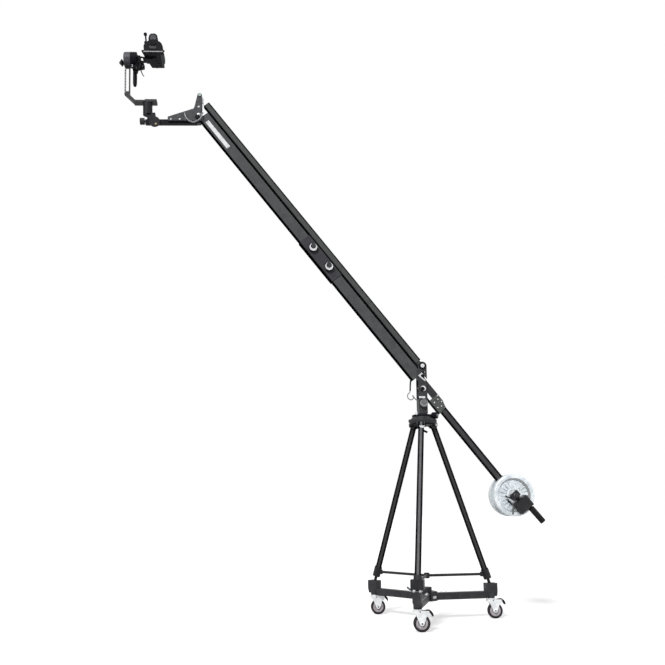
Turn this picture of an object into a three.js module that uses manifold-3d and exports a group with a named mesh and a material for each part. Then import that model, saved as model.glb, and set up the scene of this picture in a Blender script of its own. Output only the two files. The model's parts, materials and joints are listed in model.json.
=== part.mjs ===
// A camera jib crane on a tripod and a three-wheeled dolly.
// Lengths are in millimetres, +Z is up and the arm lies in the XZ plane, with the camera towards -X.

import * as THREE from 'three';
import { mergeVertices } from 'three/addons/utils/BufferGeometryUtils.js';
import Module from 'manifold-3d';

const wasm = await Module();
wasm.setup();

// Clearances
const seatGap = 0.3;
const turnGap = 0.4;
const cutOverrun = 20;

// Facets round a circle
const fineFacets = 32;
const wheelFacets = 24;
const coarseFacets = 16;
const smallFacets = 10;

// Arm linkage
const mastRise = 176;
const boomReach = 2559;
const restTilt = 51.1;

// Castors
const wheelRadius = 50;
const wheelWidth = 32;
const castorTrail = 23;
const tyreDepth = 14;
const tyreShoulder = 5;
const wheelHubRadius = 14;
const wheelDiscThickness = 22;
const axleRadius = 6;
const axleHeadRadius = 9;
const axleHeadLength = 5;
const forkWall = 3.5;
const forkSideGap = 1.2;
const forkTopGap = 8;
const forkFrontReach = 24;
const forkTopReach = 26;
const forkShoulderReach = 30;
const forkShoulderRise = 18;
const forkRearReach = 42;
const forkRearRise = 16;
const forkRearDepth = 12;
const forkEyeRadius = 13;
const forkShoulderDrop = 12;
const pedalThickness = 4;
const pedalHingeRadius = 4.5;
const pedalHingeReach = 34;
const pedalHingeRise = 11;
const pedalKneeReach = 54;
const pedalKneeRise = 5;
const pedalHeelReach = 74;
const pedalHeelDrop = 6;
const pedalTipReach = 90;
const pedalTipDrop = 12;

// Dolly
const dollyReach = 457;
const dollyTurn = 9.9;
const castorHeading = -5.8;
const hubFlat = 58;
const hubDrop = 3;
const hubHeight = 58;
const hubCapRadius = 30;
const hubCapHeight = 26;
const armWidth = 44;
const armHeight = 44;
const armRise = 30;
const cupLength = 78;
const cupWidth = 50;
const cupHeight = 84;
const cupRise = 41;
const cupFootWidth = 28;
const cupTaperHeight = 28;
const cupBoreRadius = 21;
const swivelRadius = 26;
const swivelHeight = 10;

// Tripod
const legTopReach = 75;
const legRise = 1066;
const legRadius = 20;
const footRise = 65;
const footBlockWidth = 80;
const footBlockLength = 60;
const footBlockRise = 31;
const footBlockHeight = 58;
const footRadius = 18;
const footNeckRadius = 10;
const fittingRadius = 26;
const fittingLength = 64;
const fittingUp = 52;
const hingeBoltRadius = 7;
const hingeBoltHeadRadius = 11;
const hingeBoltHeadLength = 6;
const lugThickness = 8;
const lugRadius = 24;
const lugRootReach = 48;
const lugDrop = 10;
const crownRise = 11;
const crownRadius = 70;
const crownHeight = 37;
const crownPlateRadius = 60;
const crownPlateThickness = 20;
const panRingRadius = 36;
const panRingHeight = 5;
const spreaderRise = 77;
const spreaderHubRadius = 18;
const spreaderHubHeight = 34;
const spreaderRodRadius = 8.5;
const spreaderLugWidth = 16;
const spreaderLugReach = 14;
const spreaderLugHeight = 30;
const crownKnobTurn = -36;
const lockKnobRadius = 22;
const lockKnobLength = 34;
const lockStemRadius = 8;
const lockStemLength = 14;

// Mast yoke
const postLength = 60;
const cheekThickness = 6;
const cheekGap = 1;
const postFloor = 8;
const wallDrop = 70;
const notchInner = 92;
const notchOuter = 4;
const notchLow = 46;
const notchHigh = 66;
const notchArmWidth = 12;
const notchArmTop = 88;
const mainBoltRadius = 10;
const boltHeadRadius = 19;
const boltHeadLength = 8;
const upperBoltHeadRadius = 14;
const dragKnobDrop = 103;
const dragKnobRadius = 27;
const dragKnobLength = 18;
const dragStemRadius = 9;
const dragStemLength = 6;

// Boom tubes
const beamWidth = 50;
const beamHeight = 80;
const beamDrop = 15;
const beamWall = 3;
const beamRear = 86;
const beamFrontSetback = 20;
const spliceCentre = 1167;
const sleeveLength = 370;
const sleeveWall = 4.5;
const sleeveKnobSpread = 179;
const sleeveKnobRise = 32;
const sleeveKnobRadius = 30;
const sleeveKnobLength = 16;
const sleeveStemRadius = 10;
const sleeveStemLength = 6;
const plugLength = 60;
const frontLugDrop = 8;
const frontLugRise = 20;
const frontEyeRadius = 18;
const frontBoltRadius = 7;
const frontBoltHeadRadius = 12;
const frontBoltHeadLength = 7;

// Control tube
const tubeGap = 6.7;
const tubeWidth = 38;
const tubeHeight = 48;
const tubeWall = 2.5;
const tubeRearSetback = 42;
const tubeFrontSetback = 80;
const tubeLugWidth = 10;
const tubeEyeRadius = 14;
const tubeRearLugWidth = 30;
const tubeRearEyeRadius = 19;
const tubeBossRadius = 16;

// Tail and counterweight
const tailDrop = 22;
const tailEnd = 148;
const pivotBlockHalf = 30;
const pivotBlockDrop = 18;
const pivotBossRadius = 20;
const jointFrontOverlap = 56;
const jointRearOverlap = 60;
const jointThickness = 6;
const jointRise = 60;
const jointDrop = 14;
const jointSlant = 16;
const screwRadius = 5;
const screwHeight = 3;
const strapHeight = 16;
const strapDrop = 15;
const strapThickness = 11;
const strapEyeRadius = 16;
const weightBarGap = 4;
const weightBarOverhang = 65;
const weightBarHeight = 45;
const weightBarDrop = 2;
const rodReach = 935;
const rodRise = 16;
const rodRadius = 12.5;
const rodNearEnd = 28.3;
const rodFarEnd = 15.3;
const plateRadius = 139.5;
const plateThickness = 40;
const plateGap = 1;
const plateHubRadius = 34;
const plateRimWidth = 33.5;
const plateWebDepth = 5;
const ribCount = 6;
const ribWidth = 12;
const clampThickness = 26;
const clampGap = 1;
const clampHead = 38;
const clampHeadHeight = 62;
const clampNeckHeight = 24;
const clampNeckEnd = 40;
const blockLength = 78;
const blockHeight = 104;
const blockThickness = 52;
const gripRadius = 20;
const gripLength = 118;
const gripNeck = 10;
const gripNeckRadius = 11;
const gripTurn = 2;
const gripRise = 27;

// Level bracket at the front of the arm
const bracketPitch = 3;
const bracketPlate = 6;
const bracketGap = 0.5;
const plateDrop = 44;
const plateHeel = 14;
const finRear = 23;
const finFront = 30;
const finBaseHeight = 68;
const finFootReach = 37;
const finFootHeight = 52;
const sideCrestReach = 99;
const sideCrestHeight = 30;
const sideTipSetback = 146;
const sideTipDrop = 14;
const finTopRadius = 17;
const spacerRear = 60;
const barWidth = 30;
const barTop = 27;
const barHeight = 33;
const barTopEnd = 4;
const barHeel = 14;
const barHeelRise = 10;
const barOverhang = 16;
const bracketScrewSetback = 21;
const bracketScrewPitch = 64;
const bracketScrewDrop = 35.5;
const panReach = 369;
const barKnobDrop = 36;
const barKnobRadius = 25;
const barKnobLength = 32;
const barKnobStemRadius = 8;
const barKnobStemLength = 6;
const clampKnobSetback = 53;
const clampKnobDrop = 55;
const clampKnobRadius = 38;
const clampKnobLength = 20;

// Pan and tilt head
const panRadius = 34;
const panFoot = 41;
const panHeight = 133;
const knuckleWidth = 40;
const knuckleFront = 2;
const knuckleRear = 55;
const knuckleHeight = 51;
const headPlate = 14;
const headPlateWidth = 60;
const headPlateRear = 67;
const headPlateFront = 96;
const headBlockFront = 19;
const headBlockWidth = 52;
const headBlockHeight = 8;
const uprightReach = 146;
const uprightLength = 40;
const uprightDepth = 16;
const uprightFoot = 73;
const uprightInnerDrop = 13;
const uprightSlot = 22;
const uprightSlotFoot = 22;
const uprightSlotHead = 10;
const diagonalWidth = 40;
const tiltHeight = 460;
const drumRadius = 62;
const drumEndRadius = 48;
const drumEndLength = 16;
const drumLength = 96;
const drumOffset = 22.7;
const drumFacets = 8;
const tiltKnobRadius = 30;
const tiltKnobLength = 35;
const tiltKnobWidest = 15;
const tiltKnobDrop = 23;
const tiltKnobSeatRadius = 8;
const tiltKnobTipRadius = 5;
const tiltGripRadius = 14.5;
const tiltGripLength = 159;
const tiltGripInset = 17;
const tiltShaftRadius = 18;

// Camera
const cameraCentre = 51;
const cameraBackWidth = 166;
const cameraFrontWidth = 102;
const cameraLength = 220;
const cameraFloor = 10;
const cameraHeight = 88;
const domeWidth = 145;
const domeShoulderWidth = 136;
const domeShoulderHeight = 52;
const domeBrowWidth = 120;
const domeBrowHeight = 75;
const domeTopWidth = 96;
const domeLength = 177;
const domeSetback = 3;
const cameraWall = 14;
const lensRadius = 34;
const lensHeight = 52;
const lensLength = 44;
const hoodRadius = 43;
const hoodLength = 30;
const cameraPlateThickness = 10;
const cameraPlateWidth = 80;
const handleNeckWidth = 52;
const handleNeckHeight = 34;
const handleHeadWidth = 70;
const handleHeadHeight = 44;
const handlePeak = 24;
const handleDip = 8;
const handleShoulderDrop = 18;
const handleSetback = 6;
const handleHeadLength = 44;
const handleBarWidth = 30;
const handleBarHeight = 24;
const handleBarRise = 48;
const handleBarLength = 166;
const handlePostLength = 18;

// Cables
const cableRadius = 4;
const cableFacets = 6;
const cableSteps = 30;

const finishes = {
  greyPaint: { color: 0x5b5d60, roughness: 0.45, metalness: 0.3 },
  blackPlastic: { color: 0x17181a, roughness: 0.6, metalness: 0.0 },
  blackMetal: { color: 0x222326, roughness: 0.45, metalness: 0.6 },
  silver: { color: 0xb9bcc0, roughness: 0.35, metalness: 0.9 },
  zinc: { color: 0x9b9ea1, roughness: 0.4, metalness: 0.85 },
  rubber: { color: 0x141415, roughness: 0.9, metalness: 0.0 },
  paleDisc: { color: 0xb5aeae, roughness: 0.6, metalness: 0.0 },
  weightIron: { color: 0xa9acae, roughness: 0.5, metalness: 0.5 },
};

const degrees = THREE.MathUtils.degToRad;

// A closed solid from a three.js geometry.
function solidFrom(geometry) {
  const bare = geometry.clone();
  bare.deleteAttribute('normal');
  bare.deleteAttribute('uv');
  const welded = mergeVertices(bare);
  return new wasm.Manifold(new wasm.Mesh({
    numProp: 3,
    vertProperties: welded.attributes.position.array,
    triVerts: new Uint32Array(welded.index.array),
  }));
}

// The three.js geometry of a closed solid, with crisp faces.
function geometryFrom(solid) {
  const mesh = solid.getMesh();
  const geometry = new THREE.BufferGeometry();
  geometry.setAttribute('position', new THREE.BufferAttribute(new Float32Array(mesh.vertProperties), 3));
  geometry.setIndex(new THREE.BufferAttribute(new Uint32Array(mesh.triVerts), 1));
  const crisp = geometry.toNonIndexed();
  crisp.computeVertexNormals();
  return crisp;
}

function join(...geometries) {
  return geometryFrom(geometries.map(solidFrom).reduce((whole, part) => whole.add(part)));
}

function cut(geometry, ...tools) {
  return geometryFrom(tools.map(solidFrom).reduce((whole, tool) => whole.subtract(tool), solidFrom(geometry)));
}

// A block between two corners.
function block(x0, x1, y0, y1, z0, z1) {
  const geometry = new THREE.BoxGeometry(x1 - x0, y1 - y0, z1 - z0);
  return geometry.translate((x0 + x1) / 2, (y0 + y1) / 2, (z0 + z1) / 2);
}

function rodX(radius, x0, x1, y, z, facets = coarseFacets) {
  const geometry = new THREE.CylinderGeometry(radius, radius, x1 - x0, facets);
  return geometry.rotateZ(Math.PI / 2).translate((x0 + x1) / 2, y, z);
}

function rodY(radius, x, y0, y1, z, facets = coarseFacets) {
  const geometry = new THREE.CylinderGeometry(radius, radius, y1 - y0, facets);
  return geometry.translate(x, (y0 + y1) / 2, z);
}

function rodZ(radius, x, y, z0, z1, facets = coarseFacets) {
  const geometry = new THREE.CylinderGeometry(radius, radius, z1 - z0, facets);
  return geometry.rotateX(Math.PI / 2).translate(x, y, (z0 + z1) / 2);
}

// A flat outline in the XZ plane, given thickness along Y.
function slab(points, y0, y1) {
  const outline = new THREE.Shape(points.map(([x, z]) => new THREE.Vector2(x, z)));
  const geometry = new THREE.ExtrudeGeometry(outline, { depth: y1 - y0, bevelEnabled: false });
  return geometry.rotateX(Math.PI / 2).translate(0, y1, 0);
}

// A rectangular tube along X with open ends.
function boxTube(x0, x1, halfWidth, z0, z1, wall) {
  const outer = block(x0, x1, -halfWidth, halfWidth, z0, z1);
  const innerHalf = halfWidth - wall;
  return cut(outer, block(x0 - cutOverrun, x1 + cutOverrun, -innerHalf, innerHalf, z0 + wall, z1 - wall));
}

// A round body turned about Y from a profile of [radius, y] pairs that starts and ends on the axis.
function turned(profile, facets) {
  const points = profile.map(([radius, y]) => new THREE.Vector2(radius, y));
  return new THREE.LatheGeometry(points, facets);
}

function cable(points) {
  const path = new THREE.CatmullRomCurve3(points.map(([x, y, z]) => new THREE.Vector3(x, y, z)));
  const ring = new THREE.Shape();
  for (let i = 0; i < cableFacets; i += 1) {
    const angle = (2 * Math.PI * i) / cableFacets;
    const spot = [cableRadius * Math.cos(angle), cableRadius * Math.sin(angle)];
    if (i === 0) {
      ring.moveTo(...spot);
    } else {
      ring.lineTo(...spot);
    }
  }
  ring.closePath();
  return new THREE.ExtrudeGeometry(ring, { steps: cableSteps, extrudePath: path });
}

function add(group, name, geometry, finish) {
  const mesh = new THREE.Mesh(geometry, new THREE.MeshStandardMaterial(finishes[finish]));
  mesh.name = name;
  group.add(mesh);
  return mesh;
}

function groupAt(parent, x, y, z) {
  const group = new THREE.Group();
  group.position.set(x, y, z);
  parent.add(group);
  return group;
}

// A round knob on a stem, pointing along +Z from the origin.
function knob(radius, length, stemRadius, stemLength) {
  const grip = rodZ(radius, 0, 0, stemLength, stemLength + length, coarseFacets);
  return join(grip, rodZ(stemRadius, 0, 0, 0, stemLength + length / 2, smallFacets));
}

// Heights and reaches that follow from the sizes above

const wheelTop = 2 * wheelRadius;
const armBase = wheelTop + armRise;
const armTop = armBase + armHeight;
const cupBase = wheelTop + cupRise;
const cupTop = cupBase + cupHeight;
const footHeight = cupBase + footRise;
const legTopHeight = footHeight + legRise;
const crownBase = legTopHeight + crownRise;
const crownPlateHeight = crownBase + crownHeight;
const crownTop = crownPlateHeight + crownPlateThickness;
const spreaderHeight = footHeight + spreaderRise;
const pivotHeight = crownTop + mastRise;

const tilt = degrees(restTilt);
const beamHalf = beamWidth / 2;
const beamTop = beamHeight - beamDrop;
const beamFront = boomReach - beamFrontSetback;
const sleeveHalf = beamHalf + seatGap + sleeveWall;
const plugHalf = beamHalf - beamWall - seatGap;
const plugTop = beamTop - beamWall - seatGap;
const plugBase = -beamDrop + beamWall + seatGap;
const pivotSpacing = (beamTop + seatGap + sleeveWall + tubeGap + tubeHeight / 2) / Math.cos(tilt);
const innerHalf = plugHalf + seatGap + strapThickness + cheekGap;
const postDepth = 2 * (innerHalf + cheekThickness);
const jointStart = tailEnd - jointFrontOverlap;
const jointEnd = tailEnd + jointRearOverlap;
const plateCentre = plugHalf + plateGap + plateThickness / 2;
const clampFace = plugHalf + plateGap + plateThickness + clampGap;

// Dolly

const crane = new THREE.Group();

const hubBase = armBase - hubDrop;
const hubCorner = hubFlat / Math.cos(Math.PI / 6);
const hub = join(
  rodZ(hubCorner, 0, 0, hubBase, hubBase + hubHeight, 6),
  rodZ(hubCapRadius, 0, 0, hubBase + hubHeight / 2, hubBase + hubHeight + hubCapHeight),
);
add(crane, 'dolly_hub', hub.rotateZ(degrees(dollyTurn)), 'blackMetal');

function dollyArm() {
  const cupInner = dollyReach - cupLength / 2;
  const start = hubFlat + seatGap;
  const beam = block(start, cupInner, -armWidth / 2, armWidth / 2, armBase, armTop);
  const cupFloor = footHeight - footRadius - seatGap;
  const cup = slab([
    [-cupFootWidth / 2, cupBase],
    [cupFootWidth / 2, cupBase],
    [cupWidth / 2, cupBase + cupTaperHeight],
    [cupWidth / 2, cupTop],
    [-cupWidth / 2, cupTop],
    [-cupWidth / 2, cupBase + cupTaperHeight],
  ], -cupLength / 2, cupLength / 2).rotateZ(Math.PI / 2).translate(dollyReach, 0, 0);
  const swivel = rodZ(swivelRadius, dollyReach, 0, cupBase - swivelHeight, cupFloor - swivelHeight);
  const bore = rodZ(cupBoreRadius, dollyReach, 0, cupFloor, cupTop + cutOverrun);
  return cut(join(beam, cup, swivel), bore);
}

// Castors

const forkInner = wheelWidth / 2 + forkSideGap;
const forkTop = cupBase - swivelHeight - turnGap;

function castorFork() {
  const side = (y0, y1) => join(
    slab([
      [-forkFrontReach, forkTop],
      [-forkFrontReach, forkTop - forkShoulderDrop],
      [castorTrail - forkEyeRadius, wheelRadius],
      [castorTrail + forkEyeRadius, wheelRadius],
      [forkRearReach, wheelTop + forkRearRise - forkRearDepth],
      [forkRearReach, wheelTop + forkRearRise],
      [forkShoulderReach, wheelTop + forkShoulderRise],
      [forkTopReach, forkTop],
    ], y0, y1),
    rodY(forkEyeRadius, castorTrail, y0, y1, wheelRadius),
  );
  const outer = forkInner + forkWall;
  const crown = block(-forkFrontReach, forkFrontReach, -outer, outer, wheelTop + forkTopGap, forkTop);
  const headEnd = outer + axleHeadLength;
  return join(
    side(-outer, -forkInner),
    side(forkInner, outer),
    crown,
    rodY(axleRadius, castorTrail, -headEnd, headEnd, wheelRadius),
    rodY(axleHeadRadius, castorTrail, -headEnd, -outer, wheelRadius),
    rodY(axleHeadRadius, castorTrail, outer, headEnd, wheelRadius),
  );
}

function castorWheel() {
  const half = wheelWidth / 2;
  const disc = wheelDiscThickness / 2;
  const bore = axleRadius + turnGap;
  const rim = wheelRadius - tyreDepth;
  return turned([
    [bore, -half],
    [wheelHubRadius, -half],
    [wheelHubRadius, -disc],
    [rim, -disc],
    [rim, disc],
    [wheelHubRadius, disc],
    [wheelHubRadius, half],
    [bore, half],
    [bore, -half],
  ], wheelFacets);
}

function castorTyre() {
  const half = wheelWidth / 2;
  const inner = wheelRadius - tyreDepth + seatGap;
  return turned([
    [inner, -half + tyreShoulder],
    [inner + tyreShoulder, -half],
    [wheelRadius - tyreShoulder, -half],
    [wheelRadius, -half + tyreShoulder],
    [wheelRadius, half - tyreShoulder],
    [wheelRadius - tyreShoulder, half],
    [inner + tyreShoulder, half],
    [inner, half - tyreShoulder],
    [inner, -half + tyreShoulder],
  ], wheelFacets);
}

function castorPedal() {
  const half = forkInner - turnGap;
  const hinge = wheelTop + pedalHingeRise;
  const knee = wheelTop + pedalKneeRise;
  const heel = wheelTop - pedalHeelDrop;
  const tip = wheelTop - pedalTipDrop;
  const blade = slab([
    [pedalHingeReach, hinge - pedalThickness / 2],
    [pedalKneeReach, knee - pedalThickness],
    [pedalHeelReach, heel - pedalThickness],
    [pedalTipReach, tip - pedalThickness],
    [pedalTipReach, tip],
    [pedalHeelReach, heel],
    [pedalKneeReach, knee],
    [pedalHingeReach, hinge + pedalThickness / 2],
  ], -half, half);
  return join(blade, rodY(pedalHingeRadius, pedalHingeReach, -half, half, hinge, smallFacets));
}

const legSpread = dollyReach - legTopReach;
const legLean = Math.atan2(legSpread, legRise);
const legLength = Math.hypot(legSpread, legRise);

// A leg hangs along -Z from its top hinge.
function tripodLeg() {
  const lugSpan = legRadius + turnGap + lugThickness;
  const headEnd = lugSpan + turnGap + hingeBoltHeadLength;
  const headStart = lugSpan + turnGap;
  return join(
    rodZ(legRadius, 0, 0, -(legLength - fittingUp - fittingLength) + seatGap, 0),
    rodY(legRadius, 0, -legRadius, legRadius, 0),
    rodY(hingeBoltRadius, 0, -headEnd, headEnd, 0, smallFacets),
    rodY(hingeBoltHeadRadius, 0, -headEnd, -headStart, 0, smallFacets),
    rodY(hingeBoltHeadRadius, 0, headStart, headEnd, 0, smallFacets),
  );
}

function legFitting() {
  const top = -(legLength - fittingUp - fittingLength);
  return join(
    rodZ(fittingRadius, 0, 0, top - fittingLength, top),
    rodZ(footNeckRadius, 0, 0, -legLength, top - fittingLength / 2),
    new THREE.SphereGeometry(footRadius, coarseFacets, smallFacets).translate(0, 0, -legLength),
  );
}

// The lug on a leg fitting that takes a spreader rod, upright beside the leaning leg.
function spreaderSeat() {
  const legReach = dollyReach - (spreaderHeight - footHeight) * Math.tan(legLean);
  const face = legReach - fittingRadius / Math.cos(legLean) - spreaderLugReach;
  return { face, legReach };
}

function spreaderLug() {
  const { face, legReach } = spreaderSeat();
  const half = spreaderLugHeight / 2;
  return block(
    face,
    legReach,
    -spreaderLugWidth / 2,
    spreaderLugWidth / 2,
    spreaderHeight - half,
    spreaderHeight + half,
  );
}

// The front leg stands in a wider block than the other two.
function frontBlock() {
  const base = footHeight + footBlockRise;
  const reach = dollyReach - (footBlockRise + footBlockHeight / 2) * Math.tan(legLean);
  return block(
    reach - footBlockLength / 2,
    reach + footBlockLength / 2,
    -footBlockWidth / 2,
    footBlockWidth / 2,
    base,
    base + footBlockHeight,
  );
}

function crownLug(side) {
  const inner = legRadius + turnGap;
  const [y0, y1] = side > 0 ? [inner, inner + lugThickness] : [-inner - lugThickness, -inner];
  const plate = join(
    block(lugRootReach, legTopReach, y0, y1, legTopHeight - lugDrop, crownPlateHeight),
    rodY(lugRadius, legTopReach, y0, y1, legTopHeight),
  );
  const bore = hingeBoltRadius + turnGap;
  return cut(plate, rodY(bore, legTopReach, y0 - cutOverrun, y1 + cutOverrun, legTopHeight, smallFacets));
}

// The pocket in the crown that lets a leg top turn on its bolt.
function crownPocket() {
  const half = legRadius + turnGap;
  const swing = legRadius + turnGap;
  const start = legTopReach - swing - turnGap;
  return block(start, legTopReach + swing + cutOverrun, -half, half, legTopHeight - cutOverrun, legTopHeight + swing);
}

const stations = ['right', 'left', 'front'];
const crownPieces = [
  rodZ(crownRadius, 0, 0, crownBase, crownPlateHeight, fineFacets),
  rodZ(crownPlateRadius, 0, 0, crownPlateHeight - seatGap, crownTop, fineFacets),
  rodZ(panRingRadius, 0, 0, crownTop - seatGap, crownTop + panRingHeight, fineFacets),
];
const crownPockets = [];
const spreaderPieces = [
  rodZ(
    spreaderHubRadius,
    0,
    0,
    spreaderHeight - spreaderHubHeight / 2,
    spreaderHeight + spreaderHubHeight / 2,
  ),
];

stations.forEach((station, index) => {
  const azimuth = degrees(dollyTurn) + (2 * Math.PI * index) / stations.length;
  const spoke = groupAt(crane, 0, 0, 0);
  spoke.rotation.z = azimuth;
  add(spoke, `dolly_arm_${station}`, dollyArm(), 'blackMetal');

  const swivel = groupAt(crane, dollyReach * Math.cos(azimuth), dollyReach * Math.sin(azimuth), 0);
  swivel.rotation.z = degrees(castorHeading);
  add(swivel, `castor_fork_${station}`, castorFork(), 'zinc');
  add(swivel, `castor_brake_${station}`, castorPedal(), 'blackPlastic');
  const axle = groupAt(swivel, castorTrail, 0, wheelRadius);
  add(axle, `castor_wheel_${station}`, castorWheel(), 'paleDisc');
  add(axle, `castor_tyre_${station}`, castorTyre(), 'rubber');

  const hinge = groupAt(spoke, legTopReach, 0, legTopHeight);
  hinge.rotation.y = -legLean;
  add(hinge, `tripod_leg_${station}`, tripodLeg(), 'greyPaint');
  const fitting = legFitting().rotateY(-legLean).translate(legTopReach, 0, legTopHeight);
  const pieces = station === 'front' ? [fitting, spreaderLug(), frontBlock()] : [fitting, spreaderLug()];
  add(spoke, `leg_fitting_${station}`, join(...pieces), 'blackPlastic');

  crownPieces.push(crownLug(1).rotateZ(azimuth), crownLug(-1).rotateZ(azimuth));
  crownPockets.push(crownPocket().rotateZ(azimuth));
  const rod = rodX(spreaderRodRadius, 0, spreaderSeat().face - seatGap, 0, spreaderHeight, smallFacets);
  spreaderPieces.push(rod.rotateZ(azimuth));
});

add(crane, 'tripod_crown', cut(join(...crownPieces), ...crownPockets), 'greyPaint');
add(crane, 'leg_spreader', join(...spreaderPieces), 'blackMetal');

const crownSide = groupAt(crane, 0, 0, (crownPlateHeight + crownTop) / 2);
crownSide.rotation.z = degrees(crownKnobTurn);
const crownKnob = groupAt(crownSide, crownPlateRadius + seatGap, 0, 0);
crownKnob.rotation.y = Math.PI / 2;
add(crownKnob, 'crown_knob', knob(lockKnobRadius, lockKnobLength, lockStemRadius, lockStemLength), 'blackPlastic');

// Mast

const mast = groupAt(crane, 0, 0, 0);
const postBase = crownTop + panRingHeight + turnGap;
const wallTop = pivotHeight - wallDrop;

// A point given along and across the resting arm, in the XZ plane of the mast.
function onArm(along, across) {
  return [
    -along * Math.cos(tilt) + across * Math.sin(tilt),
    pivotHeight + along * Math.sin(tilt) + across * Math.cos(tilt),
  ];
}

function yokePost() {
  const half = postLength / 2;
  const upperHeight = pivotHeight + pivotSpacing;
  const body = join(
    block(-half, half, -postDepth / 2, postDepth / 2, postBase, upperHeight),
    rodY(half, 0, -postDepth / 2, postDepth / 2, upperHeight, fineFacets),
  );
  const top = upperHeight + half + cutOverrun;
  const inner = half - cheekThickness;
  const hollow = block(-inner, inner, -innerHalf, innerHalf, postBase + postFloor, wallTop + cutOverrun);
  const passage = block(-half - cutOverrun, half + cutOverrun, -innerHalf, innerHalf, wallTop, top);
  const notch = slab([
    onArm(-postLength, notchLow),
    onArm(notchInner, notchLow),
    onArm(notchInner, notchArmTop),
    onArm(notchInner - notchArmWidth, notchArmTop),
    onArm(notchInner - notchArmWidth, notchHigh),
    onArm(-postLength, notchHigh),
  ], -postDepth, postDepth);
  const bore = mainBoltRadius + turnGap;
  return cut(
    body,
    hollow,
    passage,
    notch,
    rodY(bore, 0, -postDepth, postDepth, pivotHeight),
    rodY(bore, 0, -postDepth, postDepth, upperHeight),
  );
}

add(mast, 'mast_yoke', yokePost(), 'greyPaint');

function pivotBolt(shaftRadius, headRadius, headLength, halfSpan) {
  const start = halfSpan + turnGap;
  const end = start + headLength;
  return join(
    rodY(shaftRadius, 0, -end, end, 0),
    rodY(headRadius, 0, -end, -start, 0),
    rodY(headRadius, 0, start, end, 0),
  );
}

const mainBolt = pivotBolt(mainBoltRadius, boltHeadRadius, boltHeadLength, postDepth / 2);
add(mast, 'main_pivot_bolt', mainBolt.translate(0, 0, pivotHeight), 'silver');
const upperBolt = pivotBolt(mainBoltRadius, upperBoltHeadRadius, boltHeadLength, postDepth / 2);
add(mast, 'upper_pivot_bolt', upperBolt.translate(0, 0, pivotHeight + pivotSpacing), 'silver');

const dragKnob = groupAt(mast, 0, -postDepth / 2 - seatGap, pivotHeight - dragKnobDrop);
dragKnob.rotation.x = Math.PI / 2;
add(dragKnob, 'pan_drag_knob', knob(dragKnobRadius, dragKnobLength, dragStemRadius, dragStemLength), 'greyPaint');

// Boom, drawn level with the camera end towards -X and turned up to its resting tilt.

const boom = groupAt(mast, 0, 0, pivotHeight);
boom.rotation.y = tilt;

add(
  boom,
  'boom_front_tube',
  boxTube(-beamFront, -spliceCentre - seatGap, beamHalf, -beamDrop, beamTop, beamWall),
  'greyPaint',
);
add(
  boom,
  'boom_rear_tube',
  boxTube(-spliceCentre, -beamRear, beamHalf, -beamDrop, beamTop, beamWall),
  'greyPaint',
);

add(
  boom,
  'splice_sleeve',
  boxTube(
    -spliceCentre - sleeveLength / 2,
    -spliceCentre + sleeveLength / 2,
    sleeveHalf,
    -beamDrop - seatGap - sleeveWall,
    beamTop + seatGap + sleeveWall,
    sleeveWall,
  ),
  'greyPaint',
);

['front', 'rear'].forEach((end, index) => {
  const offset = (index - 1 / 2) * sleeveKnobSpread;
  const seat = groupAt(boom, -spliceCentre + offset, -sleeveHalf - seatGap, sleeveKnobRise);
  seat.rotation.x = Math.PI / 2;
  const grip = knob(sleeveKnobRadius, sleeveKnobLength, sleeveStemRadius, sleeveStemLength);
  add(seat, `splice_knob_${end}`, grip, 'blackPlastic');
});

function frontLug() {
  const plug = block(-beamFront, -beamFront + plugLength, -plugHalf, plugHalf, plugBase, plugTop);
  const eye = rodY(frontEyeRadius, -boomReach, -plugHalf, plugHalf, 0);
  const end = -beamFront + plugLength / 2;
  const web = block(-boomReach, end, -plugHalf, plugHalf, -frontLugDrop, frontLugRise);
  return cut(join(plug, eye, web), rodY(frontBoltRadius + turnGap, -boomReach, -beamWidth, beamWidth, 0));
}

add(boom, 'boom_front_lug', frontLug(), 'zinc');

function tailBar() {
  const plug = block(-beamRear - plugLength, -beamRear, -plugHalf, plugHalf, plugBase, plugTop);
  const bar = block(-beamRear - plugLength, tailEnd, -plugHalf, plugHalf, tailDrop, plugTop);
  const housing = block(-pivotBlockHalf, pivotBlockHalf, -plugHalf, plugHalf, -pivotBlockDrop, plugTop);
  const boss = rodY(pivotBossRadius, 0, -innerHalf + turnGap, 0, 0);
  const hole = rodY(mainBoltRadius + turnGap, 0, -postDepth, postDepth, 0);
  return cut(join(plug, bar, housing, boss), hole);
}

add(boom, 'tail_bar', tailBar(), 'greyPaint');

function jointPlate() {
  const inner = plugHalf + seatGap;
  const outer = inner + jointThickness;
  const plate = slab([
    [jointStart, -jointDrop],
    [jointEnd, -jointDrop],
    [jointEnd - jointSlant, jointRise],
    [jointStart, jointRise],
  ], -outer, -inner);
  const margin = 3 * screwRadius;
  const spots = [
    [jointStart + margin, jointRise - margin],
    [jointStart + margin, tailDrop],
    [jointEnd - jointSlant - margin, jointRise - 2 * margin],
    [jointEnd - jointSlant - margin, weightBarDrop + margin / 2],
    [(jointStart + jointEnd) / 2, (jointRise + tailDrop) / 2],
  ];
  const deep = -inner - jointThickness / 2;
  const screws = spots.map(([x, z]) => rodY(screwRadius, x, -outer - screwHeight, deep, z, smallFacets));
  return join(plate, ...screws);
}

add(boom, 'joint_plate', jointPlate(), 'zinc');

function tailStrap() {
  const inner = plugHalf + seatGap;
  const outer = inner + strapThickness;
  const eye = rodY(strapEyeRadius, 0, inner, outer, 0);
  const strip = block(0, jointEnd, inner, outer, -strapDrop, strapHeight - strapDrop);
  return cut(join(eye, strip), rodY(mainBoltRadius + turnGap, 0, inner - cutOverrun, outer + cutOverrun, 0));
}

add(boom, 'tail_strap', tailStrap(), 'blackMetal');

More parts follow.
